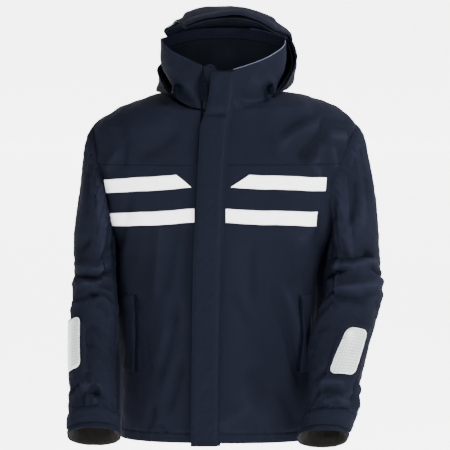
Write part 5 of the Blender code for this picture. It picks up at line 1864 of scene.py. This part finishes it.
def build_small_cloth(stitches):
    """The hanger loop, the guard behind the zip's top and the tapes under the flap."""
    rows = []
    for height in np.linspace(-0.004, 0.0, 5):
        share = np.linspace(-1, 1, 60)
        lift = 1 - share**2
        rows.append(np.stack((0.036 * share, 0.0018 - 0.0115 * lift, height - 0.014 * (1 - lift)), -1))
    loop = grid_mesh("hanger_loop_ribbon", np.array(rows), WEBBING, "webbing", thick=0.0012)
    bevel_edges(loop, 0.0003)
    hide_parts("hanger_loop")
    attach(loop, "root")
    low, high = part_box("chin_guard")
    centre = ((low.x + high.x) / 2, high.z - 0.014)
    outline = rounded((high.x - low.x) / 2, low.z - centre[1], high.z - centre[1], 0.0139, 12)
    fine = []
    for a, b in zip(outline, outline[1:] + outline[:1]):
        steps = max(1, int(math.dist(a, b) / 0.003))
        fine += [(a[0] + (b[0] - a[0]) * i / steps, a[1] + (b[1] - a[1]) * i / steps) for i in range(steps)]
    flat = disc_grid(fine, 12)
    x, z = flat[..., 0] + centre[0], flat[..., 1] + centre[1]
    y = low.y - 0.0004 + 0.0012 * waves(np.stack((x, 0 * x, z), -1), 81, 0.03, 0.06) * 0.4
    guard = grid_mesh(
        "chin_guard_cloth", np.stack((x, y, z), -1), SHELL_BAND, "shell", ring=True, thick=0.0014,
        uv=(flat[..., 0], flat[..., 1])
    )
    bevel_edges(guard, 0.0004)
    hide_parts("chin_guard")
    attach(guard, "root")
    tape = cloth_material("hook_tape_woven", (0.0022, 0.0030, 0.0060), pitch=0.0012, mapped=False)
    zip_tape = cloth_material("zip_tape_woven", (0.0022, 0.0034, 0.0076), pitch=0.0010, mapped=False)
    bag = cloth_material("pocket_bag_woven", (0.0062, 0.0078, 0.0125), pitch=0.0007, mapped=False)
    for name, mat in (
        ("flap_hook_tape", tape),
        ("flap_loop_tape", tape),
        ("zip_tape_left", zip_tape),
        ("zip_tape_right", zip_tape),
        ("pocket_bag_left", bag),
        ("pocket_bag_right", bag),
    ):
        repaint(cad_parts[name], mat)


def repaint(node, mat):
    obj = node if isinstance(node, bpy.types.Object) else bpy.data.objects[node]
    if not obj.material_slots:
        obj.data.materials.append(mat)
    for slot in obj.material_slots:
        slot.material = mat


# ---------------------------------------------------------------- stitching


def sew(name, body, target, lines, mat=THREAD, **options):
    """Rows of stitches laid on a piece. Each line is a row of points and the way into the cloth there."""
    tree = surface_of(target)
    stitches = Stitches()
    for line, way in lines:
        stitches.line(line, tree, way, **options)
    return stitches.made(name, mat, body)


def inward_of(points, centre):
    way = np.asarray(centre, float) - points
    way[..., 2] = 0
    return way / np.linalg.norm(way, axis=-1, keepdims=True)


def build_stitches(parts, tape_lines, tab_edges):
    body_centre = (0.0, -0.067, 0.0)
    lines = []
    share = np.linspace(0, 1, 260)
    for height in (-0.7045, -0.6990, YOKE_Z + 0.0030):
        z = np.full(share.shape, height)
        start, end = float(angle_of_x(ZIP_X + 0.012, height)), 2 * math.pi + float(angle_of_x(ZIP_X - 0.012, height))
        points = body_skin(start + (end - start) * share, z, 0.004)
        lines.append((points, inward_of(points, body_centre)))
    for side in SIDE:
        turn = np.linspace(-math.pi * 0.92, math.pi * 0.92, 120)
        points = armhole_points(side, turn, 0.007) + np.array([SIDE[side] * 0.004, 0, 0])
        lines.append((points, np.array([-SIDE[side], 0, 0])))
        sign, middle = SIDE[side], POCKET_X[side]
        for x in (middle - WELT_WIDTH / 2 + 0.002, middle + WELT_WIDTH / 2 + 0.0035):
            z = np.linspace(POCKET_Z[0] + 0.002, POCKET_Z[1] - 0.002, 40)
            points = body_skin(angle_of_x(sign * x, z), z, 0.006)
            lines.append((points, inward_of(points, body_centre)))
    sew("body_stitching", "root", parts["body"], lines)
    tapes = [bpy.data.objects[f"{name}_tape"] for name in STRIPES]
    tree = surface_of(*tapes)
    stitches = Stitches()
    for line in tape_lines:
        stitches.line(line + np.array([0, -0.004, 0]), tree, np.array([0, 1.0, 0]), radius=0.00022)
    stitches.made("stripe_stitching", PALE_THREAD, "root")
    z = np.linspace(FLAP_BOTTOM_Z + 0.006, FLAP_TOP_Z - 0.004, 240)
    lines = [(flap_points(np.full(z.shape, 0.90), z, 0.004), np.array([0, 1.0, 0]))]
    low = z[z < -0.05]
    lines.append((flap_points(np.full(low.shape, 0.10), low, 0.004), np.array([0, 1.0, 0])))
    across = np.linspace(0.20, 0.90, 30)
    for height in (FLAP_BOTTOM_Z + 0.006, FLAP_TOP_Z - 0.005):
        lines.append((flap_points(across, np.full(across.shape, height), 0.004), np.array([0, 1.0, 0])))
    sew("flap_stitching", "storm_flap", parts["flap"], lines)
    share = np.linspace(0, 1, 220)
    start, end = collar_edge(ZIP_X + 0.006, 1.0), 2 * math.pi + collar_edge(ZIP_X - 0.006, 1.0)
    angle = start + (end - start) * share
    lines = []
    points = collar_skin(angle, collar_top(angle) - 0.007, 0.004)
    lines.append((points, inward_of(points, (0.0, -0.085, 0.0))))
    points = collar_skin(angle, neck_z(angle) + 0.0050, 0.004)
    lines.append((points, inward_of(points, (0.0, -0.085, 0.0))))
    sew("collar_stitching", "root", parts["collar"], lines)
    t = np.linspace(-0.36, 0.62, 150)
    lines = []
    for r in (0.955, 0.925):
        points = hood_skin(np.full(t.shape, r), t, 0.006)
        way = np.array([HOOD_AXIS[0], HOOD_AXIS[1], HOOD_AXIS[2] + 0.02]) - points
        lines.append((points, way / np.linalg.norm(way, axis=1, keepdims=True)))
    sew("hood_stitching", "hood", parts["hood"], lines)
    for side in SIDE:
        turn = np.linspace(0, 2 * math.pi, 130)
        lines = []
        for height in (-0.6915, -0.6865):
            z = np.full(turn.shape, height)
            lines.append((ring_points(side, z, turn, 0.012), sleeve_way(side, turn, z)))
        sew(f"cuff_stitching_{side}", f"forearm_{side}", parts["sleeves"][side], lines)
        lines = [(ring_points(side, z, turn, 0.014), sleeve_way(side, turn, z)) for turn, z in tab_edges[side]]
        sew(f"tab_stitching_{side}", f"cuff_tab_{side}", parts["tabs"][side], lines)
        flat = np.array(rounded(0.0265 - 0.0019, -0.046 + 0.0019, 0.046 - 0.0019, 0.0106, 9))
        (start, end), (low, high) = PATCH[side]
        flat[:, 1] *= (high - low) / 0.092
        flat = np.concatenate((flat, flat[:1]))
        turn, z = patch_points(side, flat)
        sew(
            f"patch_stitching_{side}", f"forearm_{side}", parts["patches"][side],
            [(ring_points(side, z, turn, 0.012), sleeve_way(side, turn, z))], mat=PALE_THREAD, radius=0.00022
        )


# ---------------------------------------------------------------- stage, lights and camera


def build_stage():
    n = Nodes("studio_paper")
    soft = n.noise(n.place(), 1.5, 2.0)
    n.put(n.shader.inputs["Base Color"], n.ramp(soft, ((0.3, (0.90, 0.90, 0.90)), (0.7, (0.93, 0.93, 0.93)))))
    n.set(Roughness=0.9, Specular_IOR_Level=0.1, Emission_Color=(1, 1, 1, 1), Emission_Strength=3.7)
    # the back wall stands further off than any camera does, so the jacket shows from behind too
    floor_z = cad_box[0][2] - 0.25
    wall_y, curve = 18.0, 2.5
    profile = [(-6.0, floor_z, 6.0), (1.6, floor_z, 6.0), (wall_y - curve, floor_z, 34.0)]
    for a in np.linspace(0.1, math.pi / 2, 14):
        profile.append((wall_y - curve + curve * math.sin(a), floor_z + curve * (1 - math.cos(a)), 34.0))
    profile.append((wall_y, 30.0, 34.0))
    points = [(x, y, z) for y, z, half in profile for x in (-half, half)]
    mesh = bpy.data.meshes.new("studio_floor")
    mesh.from_pydata(points, [], [(2 * i, 2 * i + 1, 2 * i + 3, 2 * i + 2) for i in range(len(profile) - 1)])
    floor = link("studio_floor", mesh, n.mat)
    world = bpy.data.worlds.new("studio")
    bpy.context.scene.world = world
    world.use_nodes = True
    background = world.node_tree.nodes["Background"]
    background.inputs["Color"].default_value = (1.0, 1.0, 1.0, 1)
    background.inputs["Strength"].default_value = 0.75
    for name, place, size, power_w, aim in (
        ("key_light", (1.9, -1.4, 2.3), 1.1, 260, (0.05, -0.1, -0.25)),
        ("left_light", (-2.0, -3.2, 0.6), 1.6, 30, (0.0, -0.1, -0.3)),
        ("front_light", (0.6, -3.6, 0.5), 1.6, 50, (0.0, -0.1, -0.35)),
        ("rear_light", (1.5, 0.7, 2.4), 0.9, 60, (0.18, -0.05, -0.05)),
    ):
        light = bpy.data.lights.new(name, "AREA")
        light.size = size
        light.energy = power_w
        obj = bpy.data.objects.new(name, light)
        obj.location = place
        obj.rotation_euler = (Vector(aim) - Vector(place)).to_track_quat("-Z", "Y").to_euler()
        bpy.context.scene.collection.objects.link(obj)


VIEW_WIDTH = 0.958
VIEW_CENTRE = Vector((0.0028, -0.12, -0.266))
VIEW_DISTANCE = 8.0
VIEW_RISE = math.radians(4.5)


def build_camera():
    camera = bpy.data.cameras.new("photo_camera")
    camera.sensor_width = 36.0
    camera.lens = 36.0 * VIEW_DISTANCE / VIEW_WIDTH
    camera.clip_end = 60
    obj = bpy.data.objects.new("photo_camera", camera)
    back = Vector((0, -math.cos(VIEW_RISE), math.sin(VIEW_RISE)))
    obj.location = VIEW_CENTRE + back * VIEW_DISTANCE
    obj.rotation_euler = (-back).to_track_quat("-Z", "Y").to_euler()
    bpy.context.scene.collection.objects.link(obj)
    bpy.context.scene.camera = obj


# ---------------------------------------------------------------- the whole


def build():
    build_camera()
    build_stage()
    body, _ = build_body()
    sleeves = {side: build_sleeve(side) for side in SIDE}
    collar, _ = build_collar()
    hood, _, _ = build_hood()
    flap = build_flap()
    build_zip()
    patches, tabs, tab_edges = {}, {}, {}
    tape_lines = []
    build_stripes(tape_lines)
    trees = {side: surface_of(sleeves[side]) for side in SIDE}
    for side in SIDE:
        patches[side] = build_patches(trees[side], side)[0]
        tabs[side], tab_edges[side] = build_tab(trees[side], side)
        build_pocket(side)
    build_locks(collar)
    build_small_cloth(tape_lines)
    parts = {
        "body": body, "flap": flap, "collar": collar, "hood": hood, "sleeves": sleeves, "tabs": tabs,
        "patches": patches
    }
    build_stitches(parts, tape_lines, tab_edges)
    for side in SIDE:
        bend_sleeve(sleeves[side], side)


build()
